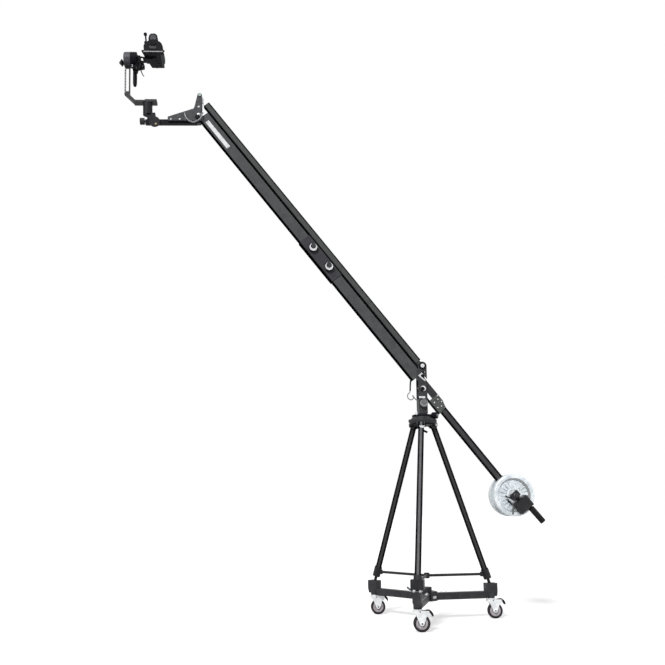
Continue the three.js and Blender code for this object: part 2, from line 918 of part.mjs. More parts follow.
const weightBarTop = weightBarDrop + weightBarHeight;
const weightBar = cut(
  block(tailEnd + weightBarGap, rodReach + weightBarOverhang, -plugHalf, plugHalf, weightBarDrop, weightBarTop),
  rodY(rodRadius + seatGap, rodReach, -beamWidth, beamWidth, rodRise),
);
add(boom, 'weight_bar', weightBar, 'greyPaint');
const rodNear = clampFace + clampThickness + rodNearEnd;
const rodFar = plateCentre + plateThickness / 2 + rodFarEnd;
add(boom, 'weight_rod', rodY(rodRadius, rodReach, -rodNear, rodFar, rodRise), 'silver');

function weightPlate() {
  const half = plateThickness / 2;
  const bore = rodRadius + turnGap;
  const web = half - plateWebDepth;
  const rim = plateRadius - plateRimWidth;
  const disc = turned([
    [bore, -half],
    [plateHubRadius, -half],
    [plateHubRadius, -web],
    [rim, -web],
    [rim, -half],
    [plateRadius, -half],
    [plateRadius, half],
    [rim, half],
    [rim, web],
    [plateHubRadius, web],
    [plateHubRadius, half],
    [bore, half],
    [bore, -half],
  ], fineFacets);
  const ribs = [];
  const rise = half - plateWebDepth / 2;
  for (let i = 0; i < ribCount; i += 1) {
    const start = (bore + plateHubRadius) / 2;
    const end = (rim + plateRadius) / 2;
    const rib = block(start, end, -rise, rise, -ribWidth / 2, ribWidth / 2);
    ribs.push(rib.rotateY((2 * Math.PI * i) / ribCount));
  }
  return join(disc, ...ribs);
}

['near', 'far'].forEach((side, index) => {
  const seat = groupAt(boom, rodReach, (2 * index - 1) * plateCentre, rodRise);
  add(seat, `weight_plate_${side}`, weightPlate(), 'weightIron');
});

function weightClamp() {
  const headHalf = clampHead / 2;
  const neck = clampNeckHeight / 2;
  const outer = -clampFace - clampThickness;
  const blockStart = rodReach + clampNeckEnd;
  const head = block(
    rodReach - headHalf,
    rodReach + headHalf,
    outer,
    -clampFace,
    rodRise - clampHeadHeight / 2,
    rodRise + clampHeadHeight / 2,
  );
  const bridge = block(rodReach, blockStart + headHalf, outer, -clampFace, rodRise - neck, rodRise + neck);
  const body = block(
    blockStart,
    blockStart + blockLength,
    -clampFace - blockThickness,
    -clampFace,
    rodRise - blockHeight / 2,
    rodRise + blockHeight / 2,
  );
  const hole = rodY(rodRadius + seatGap, rodReach, outer - cutOverrun, -clampFace + cutOverrun, rodRise);
  return cut(join(head, bridge, body), hole);
}

add(boom, 'weight_clamp', weightClamp(), 'blackMetal');

const gripSeat = groupAt(
  boom,
  rodReach + clampNeckEnd + blockLength + seatGap,
  -clampFace - blockThickness / 2,
  rodRise + gripRise,
);
gripSeat.rotation.y = Math.PI / 2;
const gripBody = join(
  rodZ(gripNeckRadius, 0, 0, 0, gripNeck + gripRadius, smallFacets),
  rodZ(gripRadius, 0, 0, 0, gripLength, coarseFacets)
    .rotateY(-degrees(gripTurn))
    .translate(0, 0, gripNeck + gripRadius * Math.sin(degrees(gripTurn))),
);
add(gripSeat, 'boom_grip', gripBody, 'rubber');

// Control tube, parallel to the boom above it.

const control = groupAt(mast, 0, 0, pivotHeight + pivotSpacing);
control.rotation.y = tilt;
const tubeFront = boomReach - tubeFrontSetback;
const tubeTop = tubeHeight / 2;

function controlTube() {
  const shell = boxTube(-tubeFront, -tubeRearSetback, tubeWidth / 2, -tubeTop, tubeTop, tubeWall);
  const half = tubeRearLugWidth / 2;
  const lug = block(-tubeRearSetback - plugLength, 0, -half, half, -tubeBossRadius, tubeBossRadius);
  const web = tubeWidth / 2 - tubeWall / 2;
  const plug = block(
    -tubeRearSetback - plugLength,
    -tubeRearSetback - tubeWall,
    -web,
    web,
    -tubeTop + tubeWall / 2,
    tubeTop - tubeWall / 2,
  );
  const eye = rodY(tubeRearEyeRadius, 0, -half, half, 0);
  const boss = rodY(tubeBossRadius, 0, -innerHalf + turnGap, innerHalf - turnGap, 0);
  return cut(join(shell, plug, lug, eye, boss), rodY(mainBoltRadius + turnGap, 0, -postDepth, postDepth, 0));
}

add(control, 'control_tube', controlTube(), 'greyPaint');

function controlLug() {
  const half = tubeLugWidth / 2;
  const inner = tubeWidth / 2 - tubeWall - seatGap;
  const top = tubeTop - tubeWall - seatGap;
  const plug = block(-tubeFront, -tubeFront + plugLength, -inner, inner, -top, top);
  const web = block(-boomReach, -tubeFront + plugLength / 2, -half, half, -tubeEyeRadius, tubeEyeRadius);
  const eye = rodY(tubeEyeRadius, -boomReach, -half, half, 0);
  const hole = rodY(frontBoltRadius + turnGap, -boomReach, -half - cutOverrun, half + cutOverrun, 0);
  return cut(join(plug, web, eye), hole);
}

add(control, 'control_tube_lug', controlLug(), 'silver');

// Level bracket, kept at one pitch by the two tubes. Its side plates straddle the end of the beam.

const pitch = degrees(bracketPitch);
const bracket = groupAt(boom, -boomReach, 0, 0);
bracket.rotation.y = -tilt - pitch;
const finX = pivotSpacing * Math.sin(pitch);
const finZ = pivotSpacing * Math.cos(pitch);
const plateInner = beamHalf + bracketGap;
const bracketSpan = plateInner + bracketPlate;
const barBase = -barTop - barHeight;

function levelBracket() {
  const barHalf = barWidth / 2;
  const tip = panReach - sideTipSetback;
  const bar = slab([
    [-panReach - barOverhang, barBase],
    [barHeel, barBase],
    [barHeel, barBase + barHeelRise],
    [-barTopEnd, -barTop],
    [-panReach - barOverhang, -barTop],
  ], -barHalf, barHalf);
  const plates = [[-bracketSpan, -plateInner], [plateInner, bracketSpan]].map(([y0, y1]) => join(
    slab([
      [-tip, -plateDrop],
      [plateHeel, -plateDrop],
      [finRear, finBaseHeight],
      [finX + finTopRadius, finZ],
      [finX - finTopRadius, finZ],
      [-finFront, finBaseHeight],
      [-finFootReach, finFootHeight],
      [-sideCrestReach, sideCrestHeight],
      [-tip, -sideTipDrop],
    ], y0, y1),
    rodY(finTopRadius, finX, y0, y1, finZ),
  ));
  const reach = plateInner + bracketPlate / 2;
  const spacer = block(-tip, -spacerRear, -reach, reach, -plateDrop, -barTop);
  const screwEnd = bracketSpan + screwHeight;
  const screws = [tip - bracketScrewSetback, tip - bracketScrewSetback - bracketScrewPitch].map((x) => (
    rodY(screwRadius, -x, -screwEnd, screwEnd, -bracketScrewDrop, smallFacets)
  ));
  const bore = frontBoltRadius + turnGap;
  return cut(
    join(bar, spacer, ...plates, ...screws),
    rodY(bore, 0, -postDepth, postDepth, 0, smallFacets),
    rodY(bore, finX, -postDepth, postDepth, finZ, smallFacets),
  );
}

add(bracket, 'level_bracket', levelBracket(), 'blackMetal');

const frontBolt = pivotBolt(frontBoltRadius, frontBoltHeadRadius, frontBoltHeadLength, bracketSpan);
add(bracket, 'front_lower_bolt', frontBolt, 'silver');
add(bracket, 'front_upper_bolt', frontBolt.clone().translate(finX, 0, finZ), 'silver');

const endKnob = groupAt(bracket, -panReach - barOverhang - seatGap, 0, -barKnobDrop);
endKnob.rotation.y = -Math.PI / 2;
const barKnob = knob(barKnobRadius, barKnobLength, barKnobStemRadius, barKnobStemLength);
add(endKnob, 'bar_end_knob', barKnob, 'blackPlastic');

const clampKnob = groupAt(bracket, -panReach + clampKnobSetback, -barWidth / 2 - seatGap, -clampKnobDrop);
clampKnob.rotation.x = Math.PI / 2;
add(
  clampKnob,
  'bar_clamp_knob',
  knob(clampKnobRadius, clampKnobLength, barKnobStemRadius, barKnobStemLength),
  'blackPlastic',
);

const knuckleHalf = knuckleWidth / 2;
const panUnit = join(
  rodZ(panRadius, 0, 0, panFoot, panHeight),
  block(-knuckleFront, knuckleRear, -knuckleHalf, knuckleHalf, seatGap, knuckleHeight),
);
add(groupAt(bracket, -panReach, 0, -barTop), 'pan_unit', panUnit, 'blackMetal');

// Pan head, which turns about the pan axis.

const panHead = groupAt(bracket, -panReach, 0, -barTop + panHeight + turnGap);
const panHeadRise = -barTop + panHeight + turnGap;

// Half the distance across the flats of the tilt drum
const drumFlat = drumRadius * Math.cos(Math.PI / drumFacets);

function headBracket() {
  const half = headPlateWidth / 2;
  const diagonalHalf = diagonalWidth / 2;
  const legInner = -uprightReach + uprightLength / 2;
  const legOuter = -uprightReach - uprightLength / 2;
  const foot = block(-headPlateFront, headPlateRear, -half, half, 0, headPlate);
  const diagonal = slab([
    [-headPlateFront, 0],
    [-headPlateFront + headPlate, headPlate],
    [legInner, uprightFoot - uprightInnerDrop],
    [legInner, uprightFoot],
    [legOuter, uprightFoot],
  ], -diagonalHalf, diagonalHalf);
  const stemTop = tiltHeight - panHeadRise - drumFlat - seatGap;
  const stemHalf = uprightDepth / 2;
  const stem = block(legOuter, legInner, -stemHalf, stemHalf, uprightFoot - uprightInnerDrop / 2, stemTop);
  const pad = block(
    -headBlockFront,
    headPlateRear,
    -headBlockWidth / 2,
    headBlockWidth / 2,
    headPlate / 2,
    headPlate + headBlockHeight,
  );
  const slot = block(
    -uprightReach - uprightSlot / 2,
    -uprightReach + uprightSlot / 2,
    -half,
    half,
    uprightFoot + uprightSlotFoot,
    stemTop - uprightSlotHead,
  );
  return cut(join(foot, diagonal, stem, pad), slot);
}

add(panHead, 'head_bracket', headBracket(), 'blackMetal');

const tiltAxis = groupAt(panHead, 0, 0, tiltHeight - panHeadRise);
const drumLeft = -uprightReach + drumOffset - drumLength / 2;
const drumRight = drumLeft + drumLength;

// An eight-sided body along X with two of its sides level.
function octagon(leftRadius, rightRadius, x0, x1) {
  const body = new THREE.CylinderGeometry(leftRadius, rightRadius, x1 - x0, drumFacets);
  return body.rotateY(Math.PI / drumFacets).rotateZ(Math.PI / 2).translate((x0 + x1) / 2, 0, 0);
}

const drumShoulder = drumLeft + drumEndLength;
const gripX = drumRight - tiltGripInset;
const tiltGrip = rodZ(tiltGripRadius, gripX, 0, -drumFlat - tiltGripLength, -drumFlat / 2);
const tiltDrum = join(
  octagon(drumEndRadius, drumRadius, drumLeft, drumShoulder),
  octagon(drumRadius, drumRadius, drumShoulder, drumRight),
  tiltGrip,
);
add(tiltAxis, 'tilt_drum', tiltDrum, 'blackPlastic');

const tiltKnobSeat = groupAt(tiltAxis, drumLeft - seatGap, 0, -tiltKnobDrop);
tiltKnobSeat.rotation.z = Math.PI / 2;
add(
  tiltKnobSeat,
  'tilt_knob',
  turned([
    [0, 0],
    [tiltKnobSeatRadius, 0],
    [tiltKnobRadius, tiltKnobWidest],
    [tiltKnobTipRadius, tiltKnobLength],
    [0, tiltKnobLength],
  ], drumFacets),
  'blackPlastic',
);

// Camera, which tilts about the drum axis.

const cameraBase = cameraPlateThickness / 2;
const cameraPlate = join(
  block(
    drumRight + turnGap,
    cameraCentre + cameraPlateWidth / 2,
    -cameraPlateWidth / 2,
    cameraPlateWidth / 2,
    -cameraPlateThickness / 2,
    cameraBase,
  ),
  rodX(tiltShaftRadius, drumRight + turnGap, drumRight + cameraPlateThickness, 0, 0),
);
add(tiltAxis, 'camera_plate', cameraPlate, 'blackMetal');

// The camera stands on a floor that narrows from its near end to its far end. Its lens points along +Y.
const cameraStart = cameraBase + seatGap;
const cameraNear = -cameraLength / 2;
const cameraTop = cameraStart + cameraHeight;

function cameraBody() {
  const outline = new THREE.Shape([
    new THREE.Vector2(-cameraBackWidth / 2, cameraNear),
    new THREE.Vector2(cameraBackWidth / 2, cameraNear),
    new THREE.Vector2(cameraFrontWidth / 2, -cameraNear),
    new THREE.Vector2(-cameraFrontWidth / 2, -cameraNear),
  ]);
  const floor = new THREE.ExtrudeGeometry(outline, { depth: cameraFloor, bevelEnabled: false });
  floor.translate(cameraCentre, 0, cameraStart);
  const domeNear = cameraNear + domeSetback;
  const domeFar = domeNear + domeLength;
  const dome = slab([
    [cameraCentre - domeWidth / 2, cameraStart + cameraFloor / 2],
    [cameraCentre + domeWidth / 2, cameraStart + cameraFloor / 2],
    [cameraCentre + domeShoulderWidth / 2, cameraStart + domeShoulderHeight],
    [cameraCentre + domeBrowWidth / 2, cameraStart + domeBrowHeight],
    [cameraCentre + domeTopWidth / 2, cameraTop],
    [cameraCentre - domeTopWidth / 2, cameraTop],
    [cameraCentre - domeBrowWidth / 2, cameraStart + domeBrowHeight],
    [cameraCentre - domeShoulderWidth / 2, cameraStart + domeShoulderHeight],
  ], domeNear, domeFar);
  const lensZ = cameraStart + lensHeight;
  const lensEnd = domeFar + lensLength;
  const lens = rodY(lensRadius, cameraCentre, domeFar - cameraWall, lensEnd, lensZ);
  const hood = rodY(hoodRadius, cameraCentre, lensEnd - hoodLength / 2, lensEnd + hoodLength / 2, lensZ);
  const roomHalf = domeTopWidth / 2 - cameraWall / 2;
  const room = block(
    cameraCentre - roomHalf,
    cameraCentre + roomHalf,
    domeNear + cameraWall,
    domeFar - cameraWall,
    cameraStart - cutOverrun,
    cameraTop - cameraWall,
  );
  return cut(join(floor, dome, lens, hood), room);
}

add(tiltAxis, 'camera_body', cameraBody(), 'blackPlastic');

// The handle has a wide head at the near end, a bar along the top and a post at the far end.
function cameraHandle() {
  const base = cameraTop + seatGap;
  const near = cameraNear + handleSetback;
  const headBase = base + handleNeckHeight - cameraWall / 4;
  const headTop = headBase + handleHeadHeight;
  const half = handleHeadWidth / 2;
  const neckHalf = handleNeckWidth / 2;
  const barHalf = handleBarWidth / 2;
  const barBottom = base + handleBarRise;
  const far = near + handleBarLength;
  const head = slab([
    [-half, headBase],
    [half, headBase],
    [handlePeak, headTop],
    [0, headTop - handleDip],
    [-handlePeak, headTop],
    [-half, headTop - handleShoulderDrop],
  ], near, near + handleHeadLength);
  const neck = block(-neckHalf, neckHalf, near, near + handleHeadLength, base, base + handleNeckHeight);
  const bar = block(-barHalf, barHalf, near + handleHeadLength / 2, far, barBottom, barBottom + handleBarHeight);
  const post = block(-barHalf, barHalf, far - handlePostLength, far, base, barBottom + handleBarHeight / 2);
  return join(head, neck, bar, post).translate(cameraCentre, 0, 0);
}

add(tiltAxis, 'camera_handle', cameraHandle(), 'blackPlastic');

// Cable loops across the two ends of the arm

const cableReach = postLength / 2 + seatGap;
const loop = 4 * cableRadius;
const [beamEndX, beamEndZ] = onArm(beamRear + loop, -beamDrop - seatGap);
const [leaveX, leaveZ] = onArm(beamRear + loop, -beamDrop - loop);
add(
  mast,
  'rear_cable',
  cable([
    [beamEndX, 0, beamEndZ],
    [leaveX, 0, leaveZ],
    [leaveX - cableRadius, 0, pivotHeight - loop],
    [leaveX - loop, 0, wallTop + 2 * loop],
    [leaveX - loop, 0, wallTop],
    [-cableReach - 2 * loop, 0, wallTop - loop],
    [-cableReach - loop / 2, 0, wallTop - loop],
    [-cableReach, 0, wallTop - loop],
  ]),
  'rubber',
);

const cableY = -bracketSpan - frontBoltHeadLength - turnGap - 2 * cableRadius;
const cableDip = barBase - cableRadius;
add(
  bracket,
  'front_cable',
  cable([
    [-sideCrestReach, -bracketSpan - seatGap, sideCrestHeight / 2],
    [-sideCrestReach, cableY, sideCrestHeight / 2],
    [-sideCrestReach + 2 * cableRadius, cableY, -barTop / 2],
    [-sideCrestReach + bracketSpan, cableY, (barBase - barTop) / 2],
    [-sideCrestReach / 2 + 2 * cableRadius, cableY, cableDip],
    [-2 * cableRadius, cableY, (barBase - barTop) / 2],
    [plateHeel, cableY, -barTop - cableRadius],
    [finRear + 2 * cableRadius, cableY, -barTop - cableRadius],
    [finRear + 4 * cableRadius, cableY, -plateDrop],
    [finRear + 4 * cableRadius, -beamHalf - seatGap, -plateDrop],
  ]),
  'silver',
);

// The part stands with the middle of its outline over the origin.
const middle = new THREE.Box3().setFromObject(crane).getCenter(new THREE.Vector3());
crane.position.set(-middle.x, -middle.y, 0);

export default crane;
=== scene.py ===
# Looks of the camera jib crane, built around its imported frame. Lengths are in metres,
# and in millimetres inside the local frames of its arm, mast, head, camera and castors.
import json
import math

import bmesh
import bpy
from mathutils import Matrix, Vector


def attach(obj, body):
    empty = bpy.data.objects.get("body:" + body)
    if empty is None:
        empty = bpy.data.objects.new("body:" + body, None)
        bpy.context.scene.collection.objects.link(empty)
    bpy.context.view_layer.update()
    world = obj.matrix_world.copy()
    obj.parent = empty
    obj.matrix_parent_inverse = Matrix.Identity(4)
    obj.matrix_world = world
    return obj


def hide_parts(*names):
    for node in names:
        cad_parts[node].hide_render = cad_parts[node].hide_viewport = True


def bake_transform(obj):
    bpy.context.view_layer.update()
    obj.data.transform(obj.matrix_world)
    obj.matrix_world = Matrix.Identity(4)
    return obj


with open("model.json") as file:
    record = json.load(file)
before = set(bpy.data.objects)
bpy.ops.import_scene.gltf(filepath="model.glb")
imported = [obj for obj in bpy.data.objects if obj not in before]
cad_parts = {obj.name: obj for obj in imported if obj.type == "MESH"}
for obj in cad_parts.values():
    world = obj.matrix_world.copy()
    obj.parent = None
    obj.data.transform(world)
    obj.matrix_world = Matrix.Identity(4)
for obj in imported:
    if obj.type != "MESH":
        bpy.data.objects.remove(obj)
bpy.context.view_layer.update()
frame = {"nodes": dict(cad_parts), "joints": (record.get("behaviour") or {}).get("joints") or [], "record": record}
nodes = frame["nodes"]
record = frame["record"]
joints = {joint["name"]: joint for joint in frame["joints"]}
CORNERS = ("right", "left", "front")

# Camera

SENSOR = 36
LENS_PER_SENSOR = 750 / 665
CAMERA_FROM_MAST = (-1.137924, -5.075467)
CAMERA_HEIGHT = 0.7232
CAMERA_DIRECTION = (0.09832, 0.96911, 0.22620)

cam_data = bpy.data.cameras.new("camera")
cam_data.sensor_width = SENSOR
cam_data.sensor_height = SENSOR
cam_data.lens = SENSOR * LENS_PER_SENSOR
cam_data.clip_start = 0.1
cam_data.clip_end = 100
cam = bpy.data.objects.new("camera", cam_data)
bpy.context.scene.collection.objects.link(cam)
mast = joints["mast_pan"]["pos_m"]
cam.location = (mast[0] + CAMERA_FROM_MAST[0], mast[1] + CAMERA_FROM_MAST[1], CAMERA_HEIGHT)
cam.rotation_euler = Vector(CAMERA_DIRECTION).to_track_quat("-Z", "Y").to_euler()
bpy.context.scene.camera = cam

# Local frames, in millimetres

UP = (0, 0, 1)


def placed(origin, x_axis, z_axis):
    x = Vector(x_axis).normalized()
    z = Vector(z_axis).normalized()
    y = z.cross(x)
    turned = Matrix((x, y, z)).transposed().to_4x4()
    return Matrix.Translation(Vector(origin)) @ turned @ Matrix.Scale(0.001, 4)


main_pivot = Vector(joints["boom_tilt"]["pos_m"])
front_pivot = Vector(joints["head_level"]["pos_m"])
upper_pivot = Vector(joints["control_tilt"]["pos_m"])
level = joints["head_tilt"]["axis"]
upright = joints["head_pan"]["axis"]
down_arm = (main_pivot - front_pivot).normalized()
arm_normal = down_arm.cross(Vector((0, 1, 0))).normalized()
mast_foot = Vector((main_pivot.x, main_pivot.y, 0))
ARM = placed(main_pivot, down_arm, arm_normal)
MAST = placed(mast_foot, (1, 0, 0), UP)
BRACKET = placed(front_pivot, level, upright)
HEAD = placed(joints["head_pan"]["pos_m"], level, upright)
CAMERA = placed(joints["head_tilt"]["pos_m"], level, upright)
knob_axis = Vector(joints["crown_knob_turn"]["axis"])
KNOB = placed(joints["crown_knob_turn"]["pos_m"], knob_axis.orthogonal(), knob_axis)


def way_to(corner):
    swivel = Vector(joints[f"castor_swivel_{corner}"]["pos_m"])
    return Vector((swivel.x - mast_foot.x, swivel.y - mast_foot.y, 0))


def castor_frame(corner):
    swivel = Vector(joints[f"castor_swivel_{corner}"]["pos_m"])
    spin = Vector(joints[f"wheel_spin_{corner}"]["pos_m"])
    trail = Vector((spin.x - swivel.x, spin.y - swivel.y, 0))
    return placed((swivel.x, swivel.y, 0), trail, UP)


DOLLY = placed(mast_foot, way_to("front"), UP)
hub_facing = way_to("front").normalized() + way_to("right").normalized()
HUB = placed(mast_foot, (-hub_facing.y, hub_facing.x, 0), UP)

# Shader nodes


def new_material(name):
    mat = bpy.data.materials.new(name)
    mat.use_nodes = True
    tree = mat.node_tree
    tree.nodes.clear()
    out = tree.nodes.new("ShaderNodeOutputMaterial")
    bsdf = tree.nodes.new("ShaderNodeBsdfPrincipled")
    tree.links.new(bsdf.outputs["BSDF"], out.inputs["Surface"])
    return mat, tree, bsdf


def object_coords(tree, turn=0.0, stretch=(1, 1, 1)):
    coords = tree.nodes.new("ShaderNodeTexCoord").outputs["Object"]
    mapping = tree.nodes.new("ShaderNodeMapping")
    mapping.inputs["Rotation"].default_value = (0, turn, 0)
    mapping.inputs["Scale"].default_value = stretch
    tree.links.new(coords, mapping.inputs["Vector"])
    return mapping.outputs["Vector"]


def noise(tree, coords, scale, detail, roughness):
    node = tree.nodes.new("ShaderNodeTexNoise")
    node.inputs["Scale"].default_value = scale
    node.inputs["Detail"].default_value = detail
    node.inputs["Roughness"].default_value = roughness
    tree.links.new(coords, node.inputs["Vector"])
    return node.outputs["Fac"]


def remap(tree, value, low, high, to_low, to_high):
    node = tree.nodes.new("ShaderNodeMapRange")
    node.inputs["From Min"].default_value = low
    node.inputs["From Max"].default_value = high
    node.inputs["To Min"].default_value = to_low
    node.inputs["To Max"].default_value = to_high
    tree.links.new(value, node.inputs["Value"])
    return node.outputs["Result"]


def blend_colour(tree, factor, first, second):
    node = tree.nodes.new("ShaderNodeMix")
    node.data_type = "RGBA"
    tree.links.new(factor, node.inputs[0])
    for socket, colour in ((node.inputs[6], first), (node.inputs[7], second)):
        if isinstance(colour, tuple):
            socket.default_value = (*colour, 1)
        else:
            tree.links.new(colour, socket)
    return node.outputs[2]


def combined(tree, operation, first, second):
    node = tree.nodes.new("ShaderNodeMath")
    node.operation = operation
    for socket, value in ((node.inputs[0], first), (node.inputs[1], second)):
        if isinstance(value, (int, float)):
            socket.default_value = value
        else:
            tree.links.new(value, socket)
    return node.outputs["Value"]


def along(tree, direction):
    coords = tree.nodes.new("ShaderNodeTexCoord").outputs["Object"]
    node = tree.nodes.new("ShaderNodeVectorMath")
    node.operation = "DOT_PRODUCT"
    node.inputs[1].default_value = direction
    tree.links.new(coords, node.inputs[0])
    return node.outputs["Value"]


def bumped(tree, bsdf, height, strength, depth):
    node = tree.nodes.new("ShaderNodeBump")
    node.inputs["Strength"].default_value = strength
    node.inputs["Distance"].default_value = depth
    tree.links.new(height, node.inputs["Height"])
    tree.links.new(node.outputs["Normal"], bsdf.inputs["Normal"])


# Materials: a finish has patches from dark to light, fine grain, and pale specks where it is worn.

BUMP_DEPTH = 0.0004
PATCH_DETAIL = (6, 0.65)
GRAIN_DETAIL = (3, 0.6)
SPECK_DETAIL = (1, 0.4)
SPECK_SCALE = 260


def finish(name, dark, light, rough, grain, bump, patch, gloss,
           metal=0.0, specks=0.0, turn=0.0, stretch=(1, 1, 1), depth=BUMP_DEPTH):
    mat, tree, bsdf = new_material(name)
    coords = object_coords(tree, turn, stretch)
    patches = noise(tree, coords, patch, *PATCH_DETAIL)
    colour = blend_colour(tree, remap(tree, patches, 0.35, 0.65, 0, 1), dark, light)
    if specks:
        pale = tuple(min(1.0, value * 4 + 0.05) for value in light)
        dots = noise(tree, object_coords(tree), SPECK_SCALE, *SPECK_DETAIL)
        colour = blend_colour(tree, remap(tree, dots, 0.66, 0.74, 0, specks), colour, pale)
    tree.links.new(colour, bsdf.inputs["Base Color"])
    tree.links.new(remap(tree, patches, 0.3, 0.7, rough - 0.06, rough + 0.08), bsdf.inputs["Roughness"])
    bsdf.inputs["Metallic"].default_value = metal
    bsdf.inputs["Specular IOR Level"].default_value = gloss
    bumped(tree, bsdf, noise(tree, coords, grain, *GRAIN_DETAIL), bump, depth)
    return mat


# Painted light and shade across a bar: a lit tone near a plane through it, and a dark tone of painted shade past
# the fade.
def banded(name, dark, light, direction, middle, fade, rough=0.5, gloss=0.12, side=0):
    mat, tree, bsdf = new_material(name)
    offset = combined(tree, "SUBTRACT", along(tree, direction), middle)
    if side == 0:
        distance = combined(tree, "ABSOLUTE", offset, 0)
    else:
        distance = combined(tree, "MULTIPLY", offset, side)
    coords = object_coords(tree)
    patches = noise(tree, coords, 22, *PATCH_DETAIL)
    dull = tuple(value * 0.75 for value in light)
    worn = blend_colour(tree, remap(tree, patches, 0.35, 0.65, 0, 1), dull, light)
    # The mask of painted shade: 0 in the lit band and 1 in the painted shade, where the gloss is taken away as
    # well.
    edge = remap(tree, distance, *fade, 0, 1)
    tree.links.new(blend_colour(tree, edge, worn, dark), bsdf.inputs["Base Color"])
    tree.links.new(remap(tree, patches, 0.3, 0.7, rough - 0.05, rough + 0.08), bsdf.inputs["Roughness"])
    tree.links.new(remap(tree, edge, 0, 1, gloss, 0.0), bsdf.inputs["Specular IOR Level"])
    bumped(tree, bsdf, noise(tree, coords, 900, *GRAIN_DETAIL), 0.15, BUMP_DEPTH)
    return mat


ARM_RISE = math.radians(51.1)
LONG = (0.04, 1, 1)
materials = {
    "black_metal": finish("black powder coat", (0.017, 0.017, 0.019), (0.030, 0.030, 0.033),
                          rough=0.5, grain=1400, bump=0.3, patch=14, gloss=0.16, specks=0.25),
    "black_alloy": finish("black cast alloy", (0.022, 0.022, 0.025), (0.042, 0.042, 0.046),
                          rough=0.46, grain=1200, bump=0.3, patch=14, gloss=0.18, specks=0.2),
    "dark_alloy": finish("dark alloy", (0.012, 0.012, 0.014), (0.026, 0.026, 0.029),
                         rough=0.48, grain=1200, bump=0.3, patch=14, gloss=0.1, specks=0.3),
    "black_plastic": finish("black plastic", (0.010, 0.010, 0.012), (0.019, 0.019, 0.022),
                            rough=0.45, grain=1600, bump=0.25, patch=18, gloss=0.2),
    "camera": finish("camera body", (0.005, 0.005, 0.008), (0.011, 0.010, 0.014),
                     rough=0.5, grain=1500, bump=0.35, patch=40, gloss=0.07, specks=0.5),
    "zinc": finish("zinc", (0.66, 0.68, 0.70), (0.88, 0.89, 0.89),
                   rough=0.36, grain=500, bump=0.12, patch=30, gloss=0.4, metal=0.55),
    "silver": finish("bright steel", (0.60, 0.61, 0.62), (0.80, 0.80, 0.80),
                     rough=0.28, grain=700, bump=0.1, patch=40, gloss=0.5, metal=0.8),
    "weight_iron": finish("hammered silver paint", (0.56, 0.62, 0.66), (0.90, 0.94, 0.97),
                          rough=0.42, grain=190, bump=0.7, patch=26, gloss=0.35, metal=0.3, depth=0.001),
    "tyre": finish("tyre", (0.018, 0.015, 0.017), (0.034, 0.028, 0.031),
                   rough=0.6, grain=900, bump=0.3, patch=40, gloss=0.15),
    "rubber": finish("rubber", (0.012, 0.012, 0.013), (0.020, 0.020, 0.021),
                     rough=0.65, grain=1000, bump=0.35, patch=20, gloss=0.1),
    "pale_disc": finish("pale nylon", (0.34, 0.31, 0.33), (0.52, 0.49, 0.51),
                        rough=0.5, grain=600, bump=0.12, patch=50, gloss=0.25),
    "post": finish("post paint", (0.032, 0.033, 0.036), (0.055, 0.056, 0.060),
                   rough=0.5, grain=900, bump=0.2, patch=22, gloss=0.15, specks=0.2),
    "tail": finish("tail paint", (0.030, 0.030, 0.034), (0.052, 0.051, 0.056),
                   rough=0.5, grain=600, bump=0.15, patch=30, gloss=0.14, specks=0.1,
                   turn=ARM_RISE, stretch=LONG),
    "plate": finish("dull zinc plate", (0.050, 0.056, 0.053), (0.115, 0.126, 0.118),
                    rough=0.46, grain=500, bump=0.25, patch=70, gloss=0.2, specks=0.4),
    "bracket": finish("bracket paint", (0.040, 0.042, 0.046), (0.085, 0.090, 0.098),
                      rough=0.48, grain=900, bump=0.25, patch=55, gloss=0.16, specks=0.35),
    "pale": finish("pale satin plate", (0.66, 0.67, 0.68), (0.80, 0.81, 0.82),
                   rough=0.4, grain=600, bump=0.1, patch=30, gloss=0.3, metal=0.1),
    "trim": finish("light grey trim", (0.22, 0.22, 0.23), (0.34, 0.34, 0.35),
                   rough=0.4, grain=500, bump=0.1, patch=90, gloss=0.3, metal=0.2),
    "knob_grey": finish("grey knob", (0.11, 0.115, 0.12), (0.20, 0.205, 0.21),
                        rough=0.42, grain=500, bump=0.2, patch=60, gloss=0.25, metal=0.1),
    # The pale teal put on the front upper bolt is a painted highlight at the top of the bracket's fin.
    "teal": finish("pale teal painted highlight", (0.28, 0.36, 0.36), (0.42, 0.50, 0.50),
                   rough=0.4, grain=500, bump=0.1, patch=60, gloss=0.3, metal=0.1),
    "brass": finish("brass", (0.20, 0.16, 0.10), (0.34, 0.28, 0.19),
                    rough=0.4, grain=500, bump=0.1, patch=60, gloss=0.3, metal=0.4),
    "glass": finish("coated lens glass", (0.010, 0.012, 0.020), (0.020, 0.022, 0.034),
                    rough=0.08, grain=500, bump=0.0, patch=60, gloss=0.8),
    "drum_grey": finish("drum cover paint", (0.055, 0.055, 0.064), (0.115, 0.115, 0.130),
                        rough=0.45, grain=900, bump=0.25, patch=55, gloss=0.2, specks=0.2),
}
material_of = {
    "mast_yoke": "post", "tripod_crown": "post", "bar_end_knob": "post",
    "pan_unit": "dark_alloy", "bar_clamp_knob": "dark_alloy", "tail_bar": "tail",
    # The front upper bolt's pale teal is a painted highlight.
    "level_bracket": "bracket", "pan_drag_knob": "knob_grey", "front_upper_bolt": "teal",
}
slot_of = {entry["node"]: entry["material_slot"] for entry in record["subparts"]}

# Painted highlights and painted shade of the legs, the beam and its tubes

